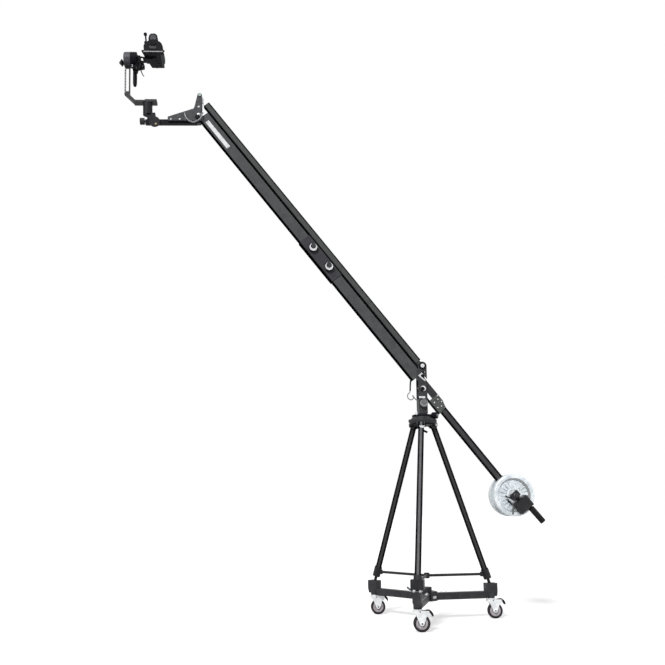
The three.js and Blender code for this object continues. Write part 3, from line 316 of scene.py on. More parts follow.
# Brightness of the painted highlight down each leg, brightest on the front leg. LEG_FACING points from the legs
# towards the camera, so the highlight runs down the middle of each leg as the camera sees it.
LEG_HIGHLIGHT_TONES = {"right": 0.062, "left": 0.062, "front": 0.170}
LEG_END = 0.1
LEG_FACING = Vector((-0.22, -0.975, 0))
BEAM_DROP = 0.015
SLEEVE_WALL = 0.0048
UNDERSIDE_SHADE_FADE = (-0.0075, -0.004)
BAR_MIDDLE = 0.0205
CONTROL_DROP = 0.001


def middle_of(points):
    return sum(points, Vector()) / len(points)


# A band of painted highlight down the middle of the leg, with painted shade along both of its sides.
def leg_highlight_paint(corner, tone):
    corners = [vertex.co for vertex in nodes[f"tripod_leg_{corner}"].data.vertices]
    low = min(co.z for co in corners) + LEG_END
    high = max(co.z for co in corners) - LEG_END
    foot = middle_of([co for co in corners if co.z < low])
    head = middle_of([co for co in corners if co.z > high])
    across = (head - foot).cross(LEG_FACING).normalized()
    return banded(f"leg paint with painted highlight {corner}", (0.008, 0.008, 0.009), (tone, tone, tone * 1.04), tuple(across),
                  across.dot((head + foot) / 2), (0.003, 0.011), rough=0.45, gloss=0.1)


up_normal = tuple(arm_normal)
# Painted shade on the underside of the beam and of the splice sleeve: below a line BEAM_DROP under the main pivot,
# and SLEEVE_WALL lower for the sleeve, the paint turns near black and loses its gloss.
underside = arm_normal.dot(main_pivot) - BEAM_DROP
beam_shaded_paint = banded("beam paint with painted underside shade", (0.003, 0.003, 0.004), (0.088, 0.092, 0.095), up_normal,
                    underside, UNDERSIDE_SHADE_FADE, side=-1)
sleeve_shaded_paint = banded("sleeve paint with painted underside shade", (0.003, 0.003, 0.004), (0.056, 0.055, 0.064), up_normal,
                      underside - SLEEVE_WALL, UNDERSIDE_SHADE_FADE, side=-1)
# The weight bar and the control tube are lit in a band through their middles, with painted shade towards their top
# and bottom edges, where the gloss goes too.
bar_shaded_paint = banded("weight bar paint with painted edge shade", (0.008, 0.008, 0.009), (0.062, 0.061, 0.066), up_normal,
                   arm_normal.dot(main_pivot) + BAR_MIDDLE, (0.010, 0.017))
control_shaded_paint = banded("control tube paint with painted edge shade", (0.006, 0.006, 0.007), (0.088, 0.093, 0.091), up_normal,
                       arm_normal.dot(upper_pivot) - CONTROL_DROP, (0.013, 0.018))
banded_nodes = {
    "boom_front_tube": beam_shaded_paint, "boom_rear_tube": beam_shaded_paint, "splice_sleeve": sleeve_shaded_paint,
    "weight_bar": bar_shaded_paint, "control_tube": control_shaded_paint,
}
for corner, tone in LEG_HIGHLIGHT_TONES.items():
    banded_nodes[f"tripod_leg_{corner}"] = leg_highlight_paint(corner, tone)

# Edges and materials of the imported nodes


def smoothed(mesh, angle=35):
    for polygon in mesh.polygons:
        polygon.use_smooth = True
    mesh.set_sharp_from_angle(angle=math.radians(angle))


def bevelled(obj, width, segments=2, angle=35):
    modifier = obj.modifiers.new("edges", "BEVEL")
    modifier.width = width
    modifier.segments = segments
    modifier.limit_method = "ANGLE"
    modifier.angle_limit = math.radians(angle)
    modifier.harden_normals = True


for name, node in nodes.items():
    if name in banded_nodes:
        paint = banded_nodes[name]
    else:
        paint = materials[material_of.get(name, slot_of[name])]
    node.data.materials.clear()
    node.data.materials.append(paint)
    smoothed(node.data)
    bevelled(node, 0.0009)

# Shapes

AXES = {
    "X": (Vector((0, 1, 0)), Vector((0, 0, 1)), Vector((1, 0, 0))),
    "Y": (Vector((0, 0, 1)), Vector((1, 0, 0)), Vector((0, 1, 0))),
    "Z": (Vector((1, 0, 0)), Vector((0, 1, 0)), Vector((0, 0, 1))),
}


def ring(mesh, centre, u, v, radius, sides):
    corners = []
    for k in range(sides):
        angle = 2 * math.pi * k / sides
        corners.append(mesh.verts.new(centre + (u * math.cos(angle) + v * math.sin(angle)) * radius))
    return corners


def joined(mesh, first, second):
    count = max(len(first), len(second))
    for k in range(count):
        j = (k + 1) % count
        if len(first) == 1:
            mesh.faces.new((first[0], second[k], second[j]))
        elif len(second) == 1:
            mesh.faces.new((first[k], first[j], second[0]))
        else:
            mesh.faces.new((first[k], first[j], second[j], second[k]))


def capped(mesh, rings):
    mesh.faces.new(rings[0][::-1])
    mesh.faces.new(rings[-1])
    for first, second in zip(rings, rings[1:]):
        joined(mesh, first, second)


# An outline of (x, z) pairs drawn out along y.
def prism(mesh, points, y0, y1):
    capped(mesh, [[mesh.verts.new((x, y, z)) for x, z in points] for y in (y0, y1)])


# An outline of (x, y) pairs drawn out along z.
def slab(mesh, points, z0, z1):
    capped(mesh, [[mesh.verts.new((x, y, z)) for x, y in points] for z in (z0, z1)])


def block(mesh, x0, x1, y0, y1, z0, z1):
    prism(mesh, [(x0, z0), (x1, z0), (x1, z1), (x0, z1)], y0, y1)


# A profile of (radius, distance) pairs turned about an axis through the centre.
def lathe(mesh, profile, centre, axis="Y", sides=48):
    u, v, w = AXES[axis]
    rings = []
    for radius, distance in profile:
        point = Vector(centre) + w * distance
        if radius == 0:
            rings.append([mesh.verts.new(point)])
        else:
            rings.append(ring(mesh, point, u, v, radius, sides))
    for first, second in zip(rings, rings[1:]):
        joined(mesh, first, second)


def curve_point(a, b, c, d, t):
    square = (2 * a - 5 * b + 4 * c - d) * t * t
    cube = (3 * b - a - 3 * c + d) * t ** 3
    return 0.5 * (2 * b + (c - a) * t + square + cube)


def smooth_path(points, steps):
    points = [Vector(point) for point in points]
    ends = [2 * points[0] - points[1], *points, 2 * points[-1] - points[-2]]
    path = []
    for i in range(1, len(ends) - 2):
        for k in range(steps):
            path.append(curve_point(*ends[i - 1:i + 3], k / steps))
    path.append(points[-1])
    return path


def tube(mesh, points, radius, sides=12, steps=8, end_radius=None):
    path = smooth_path(points, steps)
    last = len(path) - 1
    if end_radius is None:
        end_radius = radius
    rings = []
    normal = None
    for i, point in enumerate(path):
        tangent = (path[min(i + 1, last)] - path[max(i - 1, 0)]).normalized()
        if normal is None:
            seed = Vector((0, 1, 0)) if abs(tangent.y) < 0.9 else Vector((1, 0, 0))
            normal = tangent.cross(seed).normalized()
        normal = (normal - tangent * normal.dot(tangent)).normalized()
        size = radius + (end_radius - radius) * i / last
        rings.append(ring(mesh, point, normal, tangent.cross(normal), size, sides))
    capped(mesh, rings)


# A crescent between a round edge and a smaller round edge that is moved towards one side.
def crescent(mesh, centre, outer, inner, shift, depth, sides=40, turn=0.0):
    u, v, w = AXES["Y"]
    moved = (u * math.cos(turn) + v * math.sin(turn)) * shift
    base = Vector(centre)
    rings = [
        ring(mesh, base, u, v, outer, sides),
        ring(mesh, base + w * depth, u, v, outer, sides),
        ring(mesh, base + moved + w * depth * 1.3, u, v, inner, sides),
        ring(mesh, base + moved, u, v, inner, sides),
    ]
    for i, first in enumerate(rings):
        joined(mesh, first, rings[(i + 1) % len(rings)])


def screw(mesh, centre, radius, height, sign=-1):
    steps = 6
    skirt = height * 0.4
    profile = [(0, 0), (radius, 0), (radius, sign * skirt)]
    for k in range(1, steps):
        angle = math.pi / 2 * k / steps
        profile.append((radius * math.cos(angle), sign * (skirt + height * 0.6 * math.sin(angle))))
    profile.append((0, sign * height))
    lathe(mesh, profile, centre, sides=20)


def piece(name, body, material, where, build, bevel=0.0, segments=2, blend=None):
    mesh = bmesh.new()
    build(mesh)
    mesh.transform(where)
    bmesh.ops.recalc_face_normals(mesh, faces=mesh.faces)
    data = bpy.data.meshes.new(name)
    mesh.to_mesh(data)
    mesh.free()
    smoothed(data, 40)
    data.materials.append(materials[material])
    obj = bpy.data.objects.new(name, data)
    bpy.context.scene.collection.objects.link(obj)
    if bevel:
        bevelled(obj, bevel, segments)
    if blend:
        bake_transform(obj)
    else:
        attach(obj, body)
    return obj


# Camera body, handle and mount

CAMERA_FLOOR = [(-32, -110), (134, -110), (134, -102), (125, -98), (118, 0), (110, 110), (18, 110),
                (8, 70), (-3, 34), (-12, 0), (-22, -50), (-32, -102)]
CAMERA_DOME = [(-16, 15), (118, 15), (120, 52), (112, 74), (100, 87), (86, 94), (16, 94), (2, 87),
               (-10, 74), (-18, 52)]
LENS = (51, 0, 57.3)


def camera_shell(mesh):
    slab(mesh, CAMERA_FLOOR, 5.3, 15.5)
    prism(mesh, CAMERA_DOME, -107, 70)
    barrel = [(0, 55), (34, 55), (34, 99), (43, 101), (43, 127), (38, 129), (34, 118), (0, 116)]
    lathe(mesh, barrel, LENS, sides=56)


def camera_belly(mesh):
    block(mesh, 14, 92, -91, 94, 4.6, 6)
    block(mesh, 18, 84, -84, -40, 3.6, 5)
    block(mesh, 24, 80, -30, 30, 3.2, 5)
    block(mesh, 26, 40, 50, 84, 3, 5)
    block(mesh, 62, 86, 44, 60, 3, 5)
    block(mesh, 52, 86, 72, 80, 3.4, 5)


def camera_strip(mesh):
    slab(mesh, [(100, -70), (120, -70), (107, 104), (96, 104)], 3.6, 5.5)
    block(mesh, 104, 116, -60, -44, 2.4, 3.8)
    block(mesh, 102, 112, 20, 34, 2.4, 3.8)


def camera_trim(mesh):
    block(mesh, -16, 122, -113, -109.5, -2, 6)


def camera_knob(mesh):
    ball = [(0, -12), (8, -11), (12, -6), (12.5, 0), (12, 6), (8, 11), (0, 12)]
    lathe(mesh, ball, (-7, -85, 160), sides=24)
    tube(mesh, [(-2, -85, 88), (-3, -85, 120), (-6, -85, 152)], 6, 12, 4)
    block(mesh, -14, 10, -98, -72, 84, 94)


def camera_details(mesh):
    block(mesh, 24, 78, -109.5, -106, 24, 52)
    lathe(mesh, [(0, -2), (15, -2), (17, -8), (12, -10), (0, -7)], (51, -106, 68), sides=28)
    for x in (16, 86):
        screw(mesh, (x, -107, 20), 3, 2)
    lathe(mesh, [(40, 100), (45, 101), (45, 106), (40, 107)], LENS, sides=40)
    lathe(mesh, [(31, 62), (36, 63), (36, 78), (31, 79)], LENS, sides=40)


def handle_shape(mesh):
    outline = [(18, 93), (17, 120), (23, 143), (36, 156), (64, 157), (80, 143), (85, 116), (87, 93)]
    prism(mesh, outline, -104, -72)
    block(mesh, 36, 66, -74, 62, 138, 156)
    block(mesh, 38, 64, 44, 62, 93, 146)


def handle_panel(mesh):
    outline = [(28, 104), (29, 122), (34, 138), (42, 146), (60, 146), (70, 136), (74, 120), (76, 104)]
    prism(mesh, outline, -105.2, -103.6)


def camera_glass(mesh):
    lathe(mesh, [(0, 126), (24, 124), (38, 119), (38, 116), (0, 116)], LENS, sides=40)


def camera_screen(mesh):
    block(mesh, 28, 74, -110.6, -109, 27, 49)


shell = piece("camera_shell", "camera", "camera", CAMERA, camera_shell, 0.004, 3)
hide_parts("camera_body")
piece("camera_belly", "camera", "camera", CAMERA, camera_belly, 0.001)
piece("camera_strip", "camera", "bracket", CAMERA, camera_strip, 0.0008)
piece("camera_trim", "camera", "trim", CAMERA, camera_trim, 0.001)
piece("camera_knob", "camera", "camera", CAMERA, camera_knob, 0.0008)
piece("camera_details", "camera", "camera", CAMERA, camera_details, 0.0006)
handle = piece("camera_grip", "camera", "camera", CAMERA, handle_shape, 0.003, 3)
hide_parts("camera_handle")
piece("handle_panel", "camera", "bracket", CAMERA, handle_panel, 0.0006)
piece("camera_glass", "camera", "glass", CAMERA, camera_glass)
piece("camera_screen", "camera", "glass", CAMERA, camera_screen, 0.0005)


def mount_plate(mesh):
    block(mesh, -74, -50, -38, 38, -17, 17)
    block(mesh, -50, -33, -45, -33, -5, 5)
    block(mesh, -50, -33, 10, 38, -5, 5)
    block(mesh, -33, 60, -40, 28, -5, 5)
    block(mesh, -20, 40, -32, 20, -9, -5)


def mount_casting(mesh):
    outline = [(-73, 20), (-52, 6), (-51, -30), (-26, -47), (-19, -60), (-19, -90), (-43, -94),
               (-64, -100), (-70, -126), (-96, -120), (-104, -96), (-90, -64), (-74, -58)]
    prism(mesh, outline, -34, -18)


def mount_loops(mesh):
    front = [(-70, -40, 14), (-56, -46, -18), (-40, -47, -44), (-24, -44, -66), (-22, -36, -88),
             (-36, -33, -92)]
    middle = [(-92, -36, -70), (-84, -44, -96), (-66, -46, -104), (-50, -44, -88), (-44, -38, -64),
              (-30, -34, -50)]
    back = [(-66, -36, -30), (-72, -46, -56), (-88, -46, -84), (-98, -38, -108), (-90, -33, -122)]
    for points, radius in ((front, 5.5), (middle, 5), (back, 4.5)):
        tube(mesh, points, radius, 12, 6)


def mount_lever(mesh):
    points = [(-52, -33, -84), (-49, -40, -97), (-41, -40, -117), (-32, -40, -142), (-22, -40, -157)]
    tube(mesh, points, 4.6, 12, 6, 3)


def mount_marks(mesh):
    screw(mesh, (-62, -34, -8), 4, 3)
    screw(mesh, (-78, -34, -84), 4, 3)
    screw(mesh, (-34, -34, -70), 3.5, 3)


mount = piece("camera_mount", "camera", "camera", CAMERA, mount_plate, 0.0015)
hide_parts("camera_plate")
piece("mount_casting", "camera", "camera", CAMERA, mount_casting, 0.002)
piece("mount_loops", "camera", "camera", CAMERA, mount_loops)
piece("mount_lever", "camera", "camera", CAMERA, mount_lever)
piece("mount_screws", "camera", "trim", CAMERA, mount_marks)

# Head: tilt drum with its hanging grip, and the upright

DRUM = (0, 0, 0)
DRUM_GRIP = (-92.3, 0, 0)


def drum_cover(mesh):
    profile = [(0, -171.3), (48, -171.3), (55, -168), (58, -160), (58.4, -121.5), (0, -121.5)]
    lathe(mesh, profile, DRUM, "X", 56)


def drum_shell(mesh):
    lathe(mesh, [(0, -121.3), (57.3, -121.3), (57.3, -82), (52, -76), (0, -75.3)], DRUM, "X", 56)
    grip = [(0, -217), (8, -216), (12, -208), (14.4, -190), (14.8, -150), (14, -110), (14.6, -84),
            (18, -78), (21, -64), (21, -46), (0, -46)]
    lathe(mesh, grip, DRUM_GRIP, "Z", 32)
    for z in range(-180, -104, 15):
        rib = [(13.5, z - 3), (15.4, z - 2), (15.4, z + 2), (13.5, z + 3)]
        lathe(mesh, rib, DRUM_GRIP, "Z", 32)


def drum_band(mesh):
    for x in (-116, -98, -82):
        lathe(mesh, [(56, x - 3), (59, x - 3), (59, x + 3), (56, x + 3)], DRUM, "X", 48)


def drum_fleck(mesh):
    block(mesh, -107, -99, -63, -58.6, -96, -74)


def upright_scale(mesh):
    for k in range(9):
        z = 84 + 23 * k
        block(mesh, -166.4, -158, -9.4, -7.9, z, z + 15)


def upright_pins(mesh):
    screw(mesh, (-146, -7.5, 60), 8, 5)
    for x in (-20, 40):
        screw(mesh, (x, -29.6, 7), 5, 4)


drum = piece("drum_shell", "pan_head", "camera", CAMERA, drum_shell, 0.001)
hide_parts("tilt_drum")
piece("drum_cover", "pan_head", "drum_grey", CAMERA, drum_cover, 0.001)
piece("drum_bands", "pan_head", "camera", CAMERA, drum_band)
piece("drum_fleck", "pan_head", "trim", CAMERA, drum_fleck, 0.001)
piece("upright_scale", "pan_head", "trim", HEAD, upright_scale, 0.0004)
piece("upright_screws", "pan_head", "bracket", HEAD, upright_pins)

# Level bracket at the front of the arm


def bracket_screws(mesh):
    for x in (-200, -137):
        screw(mesh, (x, -31.2, -35), 7, 5)
        screw(mesh, (x, 31.2, -35), 7, 5, 1)
    screw(mesh, (1, -31.2, 64), 8, 6)


def bracket_washer(mesh):
    for sign, centre in ((-1, (-5, 0, -16)), (1, (0, 0, 0))):
        profile = [(0, 34), (21, 34), (21, 37.5), (13, 39.2), (0, 39.2)]
        lathe(mesh, [(radius, sign * distance) for radius, distance in profile], centre, sides=32)


def bracket_cap(mesh):
    screw(mesh, (4, -38.8, 2), 7, 4)


def bar_cover(mesh):
    block(mesh, -384, -14, -16.4, -14.8, -59.6, -27.4)
    block(mesh, -384, -14, 14.8, 16.4, -59.6, -27.4)
    block(mesh, -384, -14, -16.4, 16.4, -61.4, -59.8)


def clamp_dot(mesh):
    screw(mesh, (-306, -40.8, -78), 8, 4)


def front_loop(mesh):
    points = [(-100, -30, 16), (-100, -44, 2), (-88, -50, -35), (-65, -50, -58), (-38, -50, -67),
              (-12, -50, -57), (9, -50, -41), (22, -48, -14), (24, -40, 6), (30, -27, 18)]
    tube(mesh, points, 5.2, 14, 6)


piece("bracket_screws", "bracket", "pale", BRACKET, bracket_screws)
piece("bar_cover", "bracket", "camera", BRACKET, bar_cover, 0.0005)
piece("bracket_washer", "bracket", "camera", BRACKET, bracket_washer, 0.0006)
piece("bracket_cap", "bracket", "pale", BRACKET, bracket_cap)
piece("clamp_dot", "clamp_knob", "brass", BRACKET, clamp_dot)
loop_ends = ("bracket", "boom", BRACKET @ Vector((-60, -50, -60)), BRACKET @ Vector((26, -40, 10)))
loop = piece("front_loop", "bracket", "trim", BRACKET, front_loop, blend=loop_ends)
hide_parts("front_cable")

# Beam, its control tube and its splice

SPLICE_FACE = -51.6
SPLICE_KNOBS = (("front", -1256.5), ("rear", -1077.5))


def tube_collar(mesh):
    block(mesh, -172, -138, -15.6, 15.6, 70.5, 87)


def beam_plate(mesh):
    block(mesh, -2485, -2228, -27, -24.8, 5, 34)


def beam_rivets(mesh):
    for x in (-2478, -2235):
        screw(mesh, (x, -26.8, 19.5), 3.5, 2)


# Pale crescents on the splice knobs: a painted highlight on one side of each knob's ring.
def knob_ring_highlight(x):
    def build(mesh):
        crescent(mesh, (x, SPLICE_FACE, 32), 27.5, 19.5, 7.6, -1.6, turn=math.radians(-51))
    return build


def knob_button(x):
    def build(mesh):
        lathe(mesh, [(0, 0), (19, 0), (17, -2.4), (0, -3.2)], (x - 5.9, SPLICE_FACE, 36.8), sides=36)
    return build


piece("tube_collar", "control", "camera", ARM, tube_collar, 0.001)
piece("beam_plate", "boom", "pale", ARM, beam_plate, 0.0006)
piece("beam_rivets", "boom", "trim", ARM, beam_rivets)
for side, x in SPLICE_KNOBS:
    knob = f"splice_knob_{side}"
    piece(f"splice_knob_highlight_{side}", knob, "pale", ARM, knob_ring_highlight(x))
    piece(f"splice_button_{side}", knob, "post", ARM, knob_button(x))

# Yoke and joint plate


def bolt_cap(mesh):
    lathe(mesh, [(0, 0), (15.5, 0), (14.5, -3), (0, -4)], (-4.5, -48.2, 1513), sides=28)


def upper_ring(mesh):
    lathe(mesh, [(12, -40), (12, -45), (20, -46), (25, -43), (26, -40)], (0, 0, 1676), sides=40)


# A pale bar across the yoke below the main pivot: a painted highlight along the top of the friction ring.
def yoke_collar_highlight(mesh):
    block(mesh, -30, 14, -42.5, -39.8, 1449, 1463)


# A thin pale bent line on the yoke between the two pivots: a painted highlight along a bright edge.
def yoke_edge_highlight(mesh):
    outline = [(-31, 1607), (-7, 1627), (-1, 1622), (-16, 1604), (22, 1574), (16, 1567), (-22, 1598)]
    prism(mesh, outline, -42, -39.8)


# A pale crescent on the drag knob: a painted highlight on one side of its dome.
def drag_knob_highlight(mesh):
    crescent(mesh, (0, -64.2, 1417), 26, 22, 6, -1.6)


def thick_lead(mesh):
    tube(mesh, [(-64, 0, 1600), (-75, 0, 1580), (-80, 0, 1547), (-82, 0, 1505)], 6, 14, 6, 5)


def thin_lead(mesh):
    points = [(-82, 0, 1508), (-86, 0, 1494), (-99, 0, 1480), (-100, 0, 1459), (-89, 0, 1447),
              (-74, 0, 1443), (-60, 0, 1456), (-66, 0, 1474), (-53, 0, 1456), (-42, 0, 1444),
              (-29, 0, 1440)]
    tube(mesh, points, 3.8, 12, 6)


def plate_shape(mesh):
    outline = [(92, -14), (92, 60), (150, 60), (168, 53), (197, 46), (206, -14)]
    prism(mesh, outline, -28, -22)
    for x, z in ((107, 45), (107, 22), (150, 41), (177, 30), (177, 9.5)):
        screw(mesh, (x, -28, z), 5, 3)


def joint_screws(mesh):
    for x, z in ((100, 50), (122, 36), (124, 2), (165, -2), (172, 26), (150, 46)):
        screw(mesh, (x, -30.8, z), 5, 4)


piece("bolt_cap", "mast", "camera", MAST, bolt_cap)
piece("upper_ring", "mast", "camera", MAST, upper_ring)
piece("yoke_collar_highlight", "mast", "pale", MAST, yoke_collar_highlight, 0.003, 3)
piece("yoke_edge_highlight", "mast", "pale", MAST, yoke_edge_highlight, 0.0008)
piece("drag_knob_highlight", "drag_knob", "trim", MAST, drag_knob_highlight)
crossing = ("mast", "boom", MAST @ Vector((-82, 0, 1446)), MAST @ Vector((-70, 0, 1592)))
lead = piece("rear_lead", "mast", "camera", MAST, thick_lead, blend=crossing)
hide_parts("rear_cable")
piece("rear_loop", "mast", "trim", MAST, thin_lead, blend=crossing)
plate = piece("plate_outline", "boom", "plate", ARM, plate_shape, 0.0009)
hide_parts("joint_plate")
piece("joint_screws", "boom", "pale", ARM, joint_screws)

# Crown

ORIGIN = (0, 0, 0)


def crown_skirt(mesh):
    profile = [(0, 1336), (70, 1336), (71, 1322), (74, 1312), (94, 1306), (98, 1301), (97, 1293),
               (92, 1284), (86, 1274), (0, 1272)]
    lathe(mesh, profile, ORIGIN, "Z", 64)


def crown_rim(mesh):
    lathe(mesh, [(64, 1337), (70, 1337), (73, 1331), (71, 1322), (64, 1322)], ORIGIN, "Z", 64)
    lathe(mesh, [(0, 1275), (91, 1275), (88, 1266), (0, 1266)], ORIGIN, "Z", 64)


def crown_disc(mesh):
    outline = [(-48, 1255), (-10, 1255), (-13, 1247), (-20, 1240), (-30, 1238), (-40, 1242),
               (-46, 1249)]
    prism(mesh, outline, -109, -104)


def crown_pin(mesh):
    tube(mesh, [(-12, -70, 1226), (-2, -74, 1220), (14, -76, 1212)], 7, 14, 4)


def crown_bits(mesh):
    lathe(mesh, [(0, 1335), (7, 1335), (7, 1350), (4, 1357), (0, 1358)], (-50, -44, 0), "Z", 20)
    lathe(mesh, [(0, 1335), (6, 1335), (6, 1343), (0, 1345)], (53, -40, 0), "Z", 20)
    lathe(mesh, [(0, 0), (9, 0), (8, -5), (0, -6)], (86, -29, 1270), sides=24)


def crown_cap(mesh):
    lathe(mesh, [(0, 47), (12, 47), (11, 51), (6, 53), (0, 53)], ORIGIN, "Z", 28)
    lathe(mesh, [(10, 4), (15, 4), (15, 8), (10, 8)], ORIGIN, "Z", 36)


def crown_grip(mesh):
    lathe(mesh, [(14, 15), (22, 15), (23, 18), (23, 46), (20, 50), (11, 50)], ORIGIN, "Z", 36)


piece("crown_cap", "crown_knob", "trim", KNOB, crown_cap)
piece("crown_grip", "crown_knob", "camera", KNOB, crown_grip, 0.0008)
piece("crown_skirt", "base", "post", MAST, crown_skirt, 0.002)
piece("crown_rim", "base", "camera", MAST, crown_rim, 0.001)
piece("crown_disc", "base", "pale", MAST, crown_disc, 0.001)
piece("crown_pin", "base", "camera", MAST, crown_pin)
piece("crown_bits", "base", "pale", MAST, crown_bits)

# Weights. The rod passes through (ROD_X, ROD_Z) in the arm's frame.

ROD_X = 935
ROD_Z = 16
RIM_FACE = (ROD_X, -63.4, ROD_Z)
SPOKES = 20
SPOKE_ENDS = (58, 96)
SPOKE_HALF_WIDTHS = (3.4, 4.76)
PLUMB = math.radians(43)


# Points given as (outwards, sideways) from the rod, for a direction that is turned by an angle.
def on_plate(points, angle):
    u = math.cos(angle)
    v = math.sin(angle)
    return [(ROD_X + u * r - v * s, ROD_Z + v * r + u * s) for r, s in points]


def weight_rim(mesh):
    lathe(mesh, [(110, 0.4), (113, -4), (133, -4.6), (139, -1.5), (139.4, 0.4)], RIM_FACE, sides=96)


def weight_relief(mesh):
    lathe(mesh, [(34, 0.4), (36, -3), (48, -3), (51, 0.4)], RIM_FACE, sides=64)
    near, far = SPOKE_ENDS
    thin, thick = SPOKE_HALF_WIDTHS
    for k in range(SPOKES):
        spoke = [(near, -thin), (far, -thick), (far, thick), (near, thin)]
        prism(mesh, on_plate(spoke, 2 * math.pi * k / SPOKES), -65.6, -63)


# A darker crescent in the ring recess of the weight plate, thickest on one side: painted shade where the recess's
# wall shades it.
def weight_recess_shadow(mesh):
    crescent(mesh, (ROD_X, -63.2, ROD_Z), 111, 104, 6.4, -1.3, sides=96, turn=math.radians(-150))


def weight_slot(mesh):
    slot = [(52, -6), (128, -6), (128, 6), (52, 6)]
    prism(mesh, on_plate(slot, PLUMB - math.pi / 2), -68.6, -63)


def weight_lever(mesh):
    tube(mesh, [(898, -67, -37), (916, -70, -27), (936, -70, -15)], 3.4, 12, 4)
    tube(mesh, [(925, -67, -42), (948, -72, -41), (970, -72, -38)], 5, 12, 4)


def weight_cap(mesh):
    profile = [(0, -115), (15, -115), (14.5, -119), (8, -121), (0, -121)]
    lathe(mesh, profile, (ROD_X, 0, ROD_Z), sides=32)


piece("weight_rim", "boom", "weight_iron", ARM, weight_rim)
piece("weight_relief", "boom", "weight_iron", ARM, weight_relief, 0.0008)
piece("weight_recess_shadow", "boom", "trim", ARM, weight_recess_shadow)
piece("weight_slot", "boom", "knob_grey", ARM, weight_slot, 0.0006)
piece("weight_cap", "boom", "tail", ARM, weight_cap)
piece("weight_lever", "boom", "camera", ARM, weight_lever)

# Castors, with x along the trail from the swivel to the axle

AXLE = (23, 0, 50)
FORK = [(-26, 122), (-30, 112), (-12, 96), (4, 62), (10, 45), (15, 39), (23, 37), (31, 39), (36, 45),
        (42, 62), (50, 88), (64, 96), (70, 110), (64, 122)]
PEDAL = [(36, 118), (52, 125), (66, 126), (80, 120), (90, 107), (93, 92), (86, 88), (80, 98),
         (70, 108), (58, 111), (44, 108), (34, 106)]
TREAD = [(36.4, -15.6), (45, -16.4), (49, -14), (50.2, -8), (50.4, 0), (50.2, 8), (49, 14),
         (45, 16.4), (36.4, 15.6)]


def fork_shape(mesh):
    for sign in (-1, 1):
        prism(mesh, FORK, sign * 19.6, sign * 23.6)
    block(mesh, -26, 30, -23, 23, 117, 122)
    lathe(mesh, [(0, 121), (26, 121), (28, 125), (24, 130.2), (0, 130.2)], ORIGIN, "Z", 40)
    lathe(mesh, [(0, -26.5), (8, -26.5), (8, 26.5), (0, 26.5)], AXLE, sides=24)


def fork_dot(mesh):
    screw(mesh, (12, -23.4, 116), 3.6, 3)
    screw(mesh, (23, -26.3, 50), 5, 3)


def pedal_shape(mesh):
    prism(mesh, PEDAL, -18.6, 18.6)
    lathe(mesh, [(0, -19), (5, -19), (5, 19), (0, 19)], (34, 0, 111), sides=20)
    for k in range(4):
        x = 64 + 6 * k
        drop = 2.2 * k * k
        block(mesh, x, x + 3, -16, 16, 124 - drop, 128 - drop)


def tyre_tread(mesh):
    lathe(mesh, TREAD, AXLE, sides=64)


def wheel_ring(mesh):
    for sign in (-1, 1):
        inner = sign * 15.6
        outer = sign * 17.4
        lathe(mesh, [(22, inner), (24, outer), (32, outer), (35, inner)], AXLE, sides=48)
        hub = sign * 18.4
        lathe(mesh, [(0, inner), (12, inner), (11, hub), (0, hub)], AXLE, sides=28)


for corner in CORNERS:
    CASTOR = castor_frame(corner)
    castor = f"castor_{corner}"
    wheel = f"wheel_{corner}"
    fork = piece(f"fork_{corner}", castor, "zinc", CASTOR, fork_shape, 0.0008)
    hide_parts(f"castor_fork_{corner}")
    piece(f"fork_bolt_{corner}", castor, "bracket", CASTOR, fork_dot)
    pedal = piece(f"pedal_{corner}", f"brake_{corner}", "camera", CASTOR,
                  pedal_shape, 0.0015)
    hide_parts(f"castor_brake_{corner}")
    tyre = piece(f"tread_{corner}", wheel, "tyre", CASTOR, tyre_tread)
    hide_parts(f"castor_tyre_{corner}")
    piece(f"wheel_ring_{corner}", wheel, "pale_disc", CASTOR, wheel_ring)

# Dolly, with x along its front arm


def foot_collar(mesh):
    nut = [(0, 225.2), (30, 225.2), (30, 229), (20, 231), (20, 237), (0, 237)]
    lathe(mesh, nut, (432, 0, 0), "Z", 6)
    for y in (-18, 18):
        lathe(mesh, [(0, 225.2), (7, 225.2), (7, 233), (0, 233)], (470, y, 0), "Z", 24)


def foot_lever(mesh):
    tube(mesh, [(440, -30, 232), (446, -48, 240), (448, -62, 252)], 6, 12, 4)


# A light grey strip along the top edge of the dolly's front arm: a painted highlight on that edge.
def arm_edge_highlight(mesh):
    block(mesh, 76, 402, 20.4, 22.6, 170.5, 174.6)


def arm_studs(mesh):
    for x in (74, 104, 134):
        stud = [(0, 173.8), (7, 173.8), (6.4, 179), (3, 181), (0, 181)]
        lathe(mesh, stud, (x, 8, 0), "Z", 20)


def hub_plate(mesh):
    block(mesh, -18, 18, -60.6, -57.6, 143, 158)


piece("foot_collar", "base", "silver", DOLLY, foot_collar, 0.0008)
piece("foot_lever", "base", "knob_grey", DOLLY, foot_lever)
piece("arm_edge_highlight", "base", "trim", DOLLY, arm_edge_highlight, 0.0004)
piece("hub_plate", "base", "pale", HUB, hub_plate, 0.0008)
for corner in CORNERS:
    ARM_WAY = placed(mast_foot, way_to(corner), UP)
    piece(f"arm_studs_{corner}", "base", "silver", ARM_WAY, arm_studs)

# Floor and light

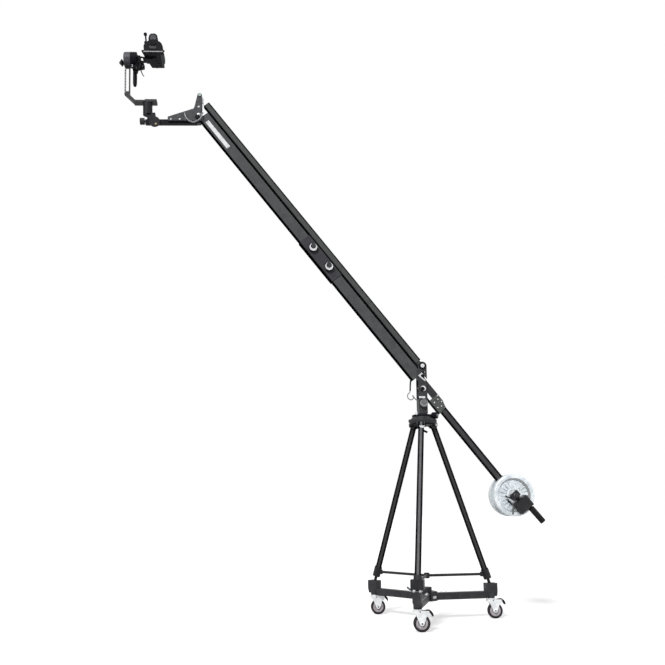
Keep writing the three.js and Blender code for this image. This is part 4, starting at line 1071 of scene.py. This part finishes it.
FLOOR_REACH = 60
FLOOR_BOUNCE = (0.34, 0.34, 0.34)
FLOOR_SEEN = (0.90, 0.90, 0.90)
FLOOR_GLOW = 0.45
SKY_LIGHT = 0.34
SKY_SEEN = 1.0


def camera_like_rays(tree):
    path = tree.nodes.new("ShaderNodeLightPath")
    both = combined(tree, "MAXIMUM", path.outputs["Is Camera Ray"], path.outputs["Is Glossy Ray"])
    return combined(tree, "MAXIMUM", both, path.outputs["Is Transmission Ray"])


def floor_material():
    mat, tree, bsdf = new_material("pale floor")
    seen = camera_like_rays(tree)
    tree.links.new(blend_colour(tree, seen, FLOOR_BOUNCE, FLOOR_SEEN), bsdf.inputs["Base Color"])
    bsdf.inputs["Roughness"].default_value = 0.9
    bsdf.inputs["Specular IOR Level"].default_value = 0.0
    bsdf.inputs["Emission Color"].default_value = (1, 1, 1, 1)
    tree.links.new(combined(tree, "MULTIPLY", seen, FLOOR_GLOW), bsdf.inputs["Emission Strength"])
    return mat


def sun(name, direction, strength, angle):
    data = bpy.data.lights.new(name, "SUN")
    data.energy = strength
    data.angle = math.radians(angle)
    light = bpy.data.objects.new(name, data)
    light.rotation_euler = Vector(direction).to_track_quat("-Z", "Y").to_euler()
    bpy.context.scene.collection.objects.link(light)


floor_mesh = bpy.data.meshes.new("floor")
floor_corners = [(x * FLOOR_REACH, y * FLOOR_REACH, 0) for x, y in ((-1, -1), (1, -1), (1, 1), (-1, 1))]
floor_mesh.from_pydata(floor_corners, [], [(0, 1, 2, 3)])
floor_mesh.materials.append(floor_material())
floor = bpy.data.objects.new("floor", floor_mesh)
bpy.context.scene.collection.objects.link(floor)

world = bpy.data.worlds.new("studio")
bpy.context.scene.world = world
world.use_nodes = True
background = world.node_tree.nodes["Background"]
background.inputs["Color"].default_value = (1, 1, 1, 1)
sky = remap(world.node_tree, camera_like_rays(world.node_tree), 0, 1, SKY_LIGHT, SKY_SEEN)
world.node_tree.links.new(sky, background.inputs["Strength"])

sun("key", direction=(0.42, 0.78, -0.62), strength=2.3, angle=12)
sun("fill", direction=(-0.75, 0.6, -0.35), strength=0.5, angle=30)

bpy.context.scene.view_settings.view_transform = "Standard"
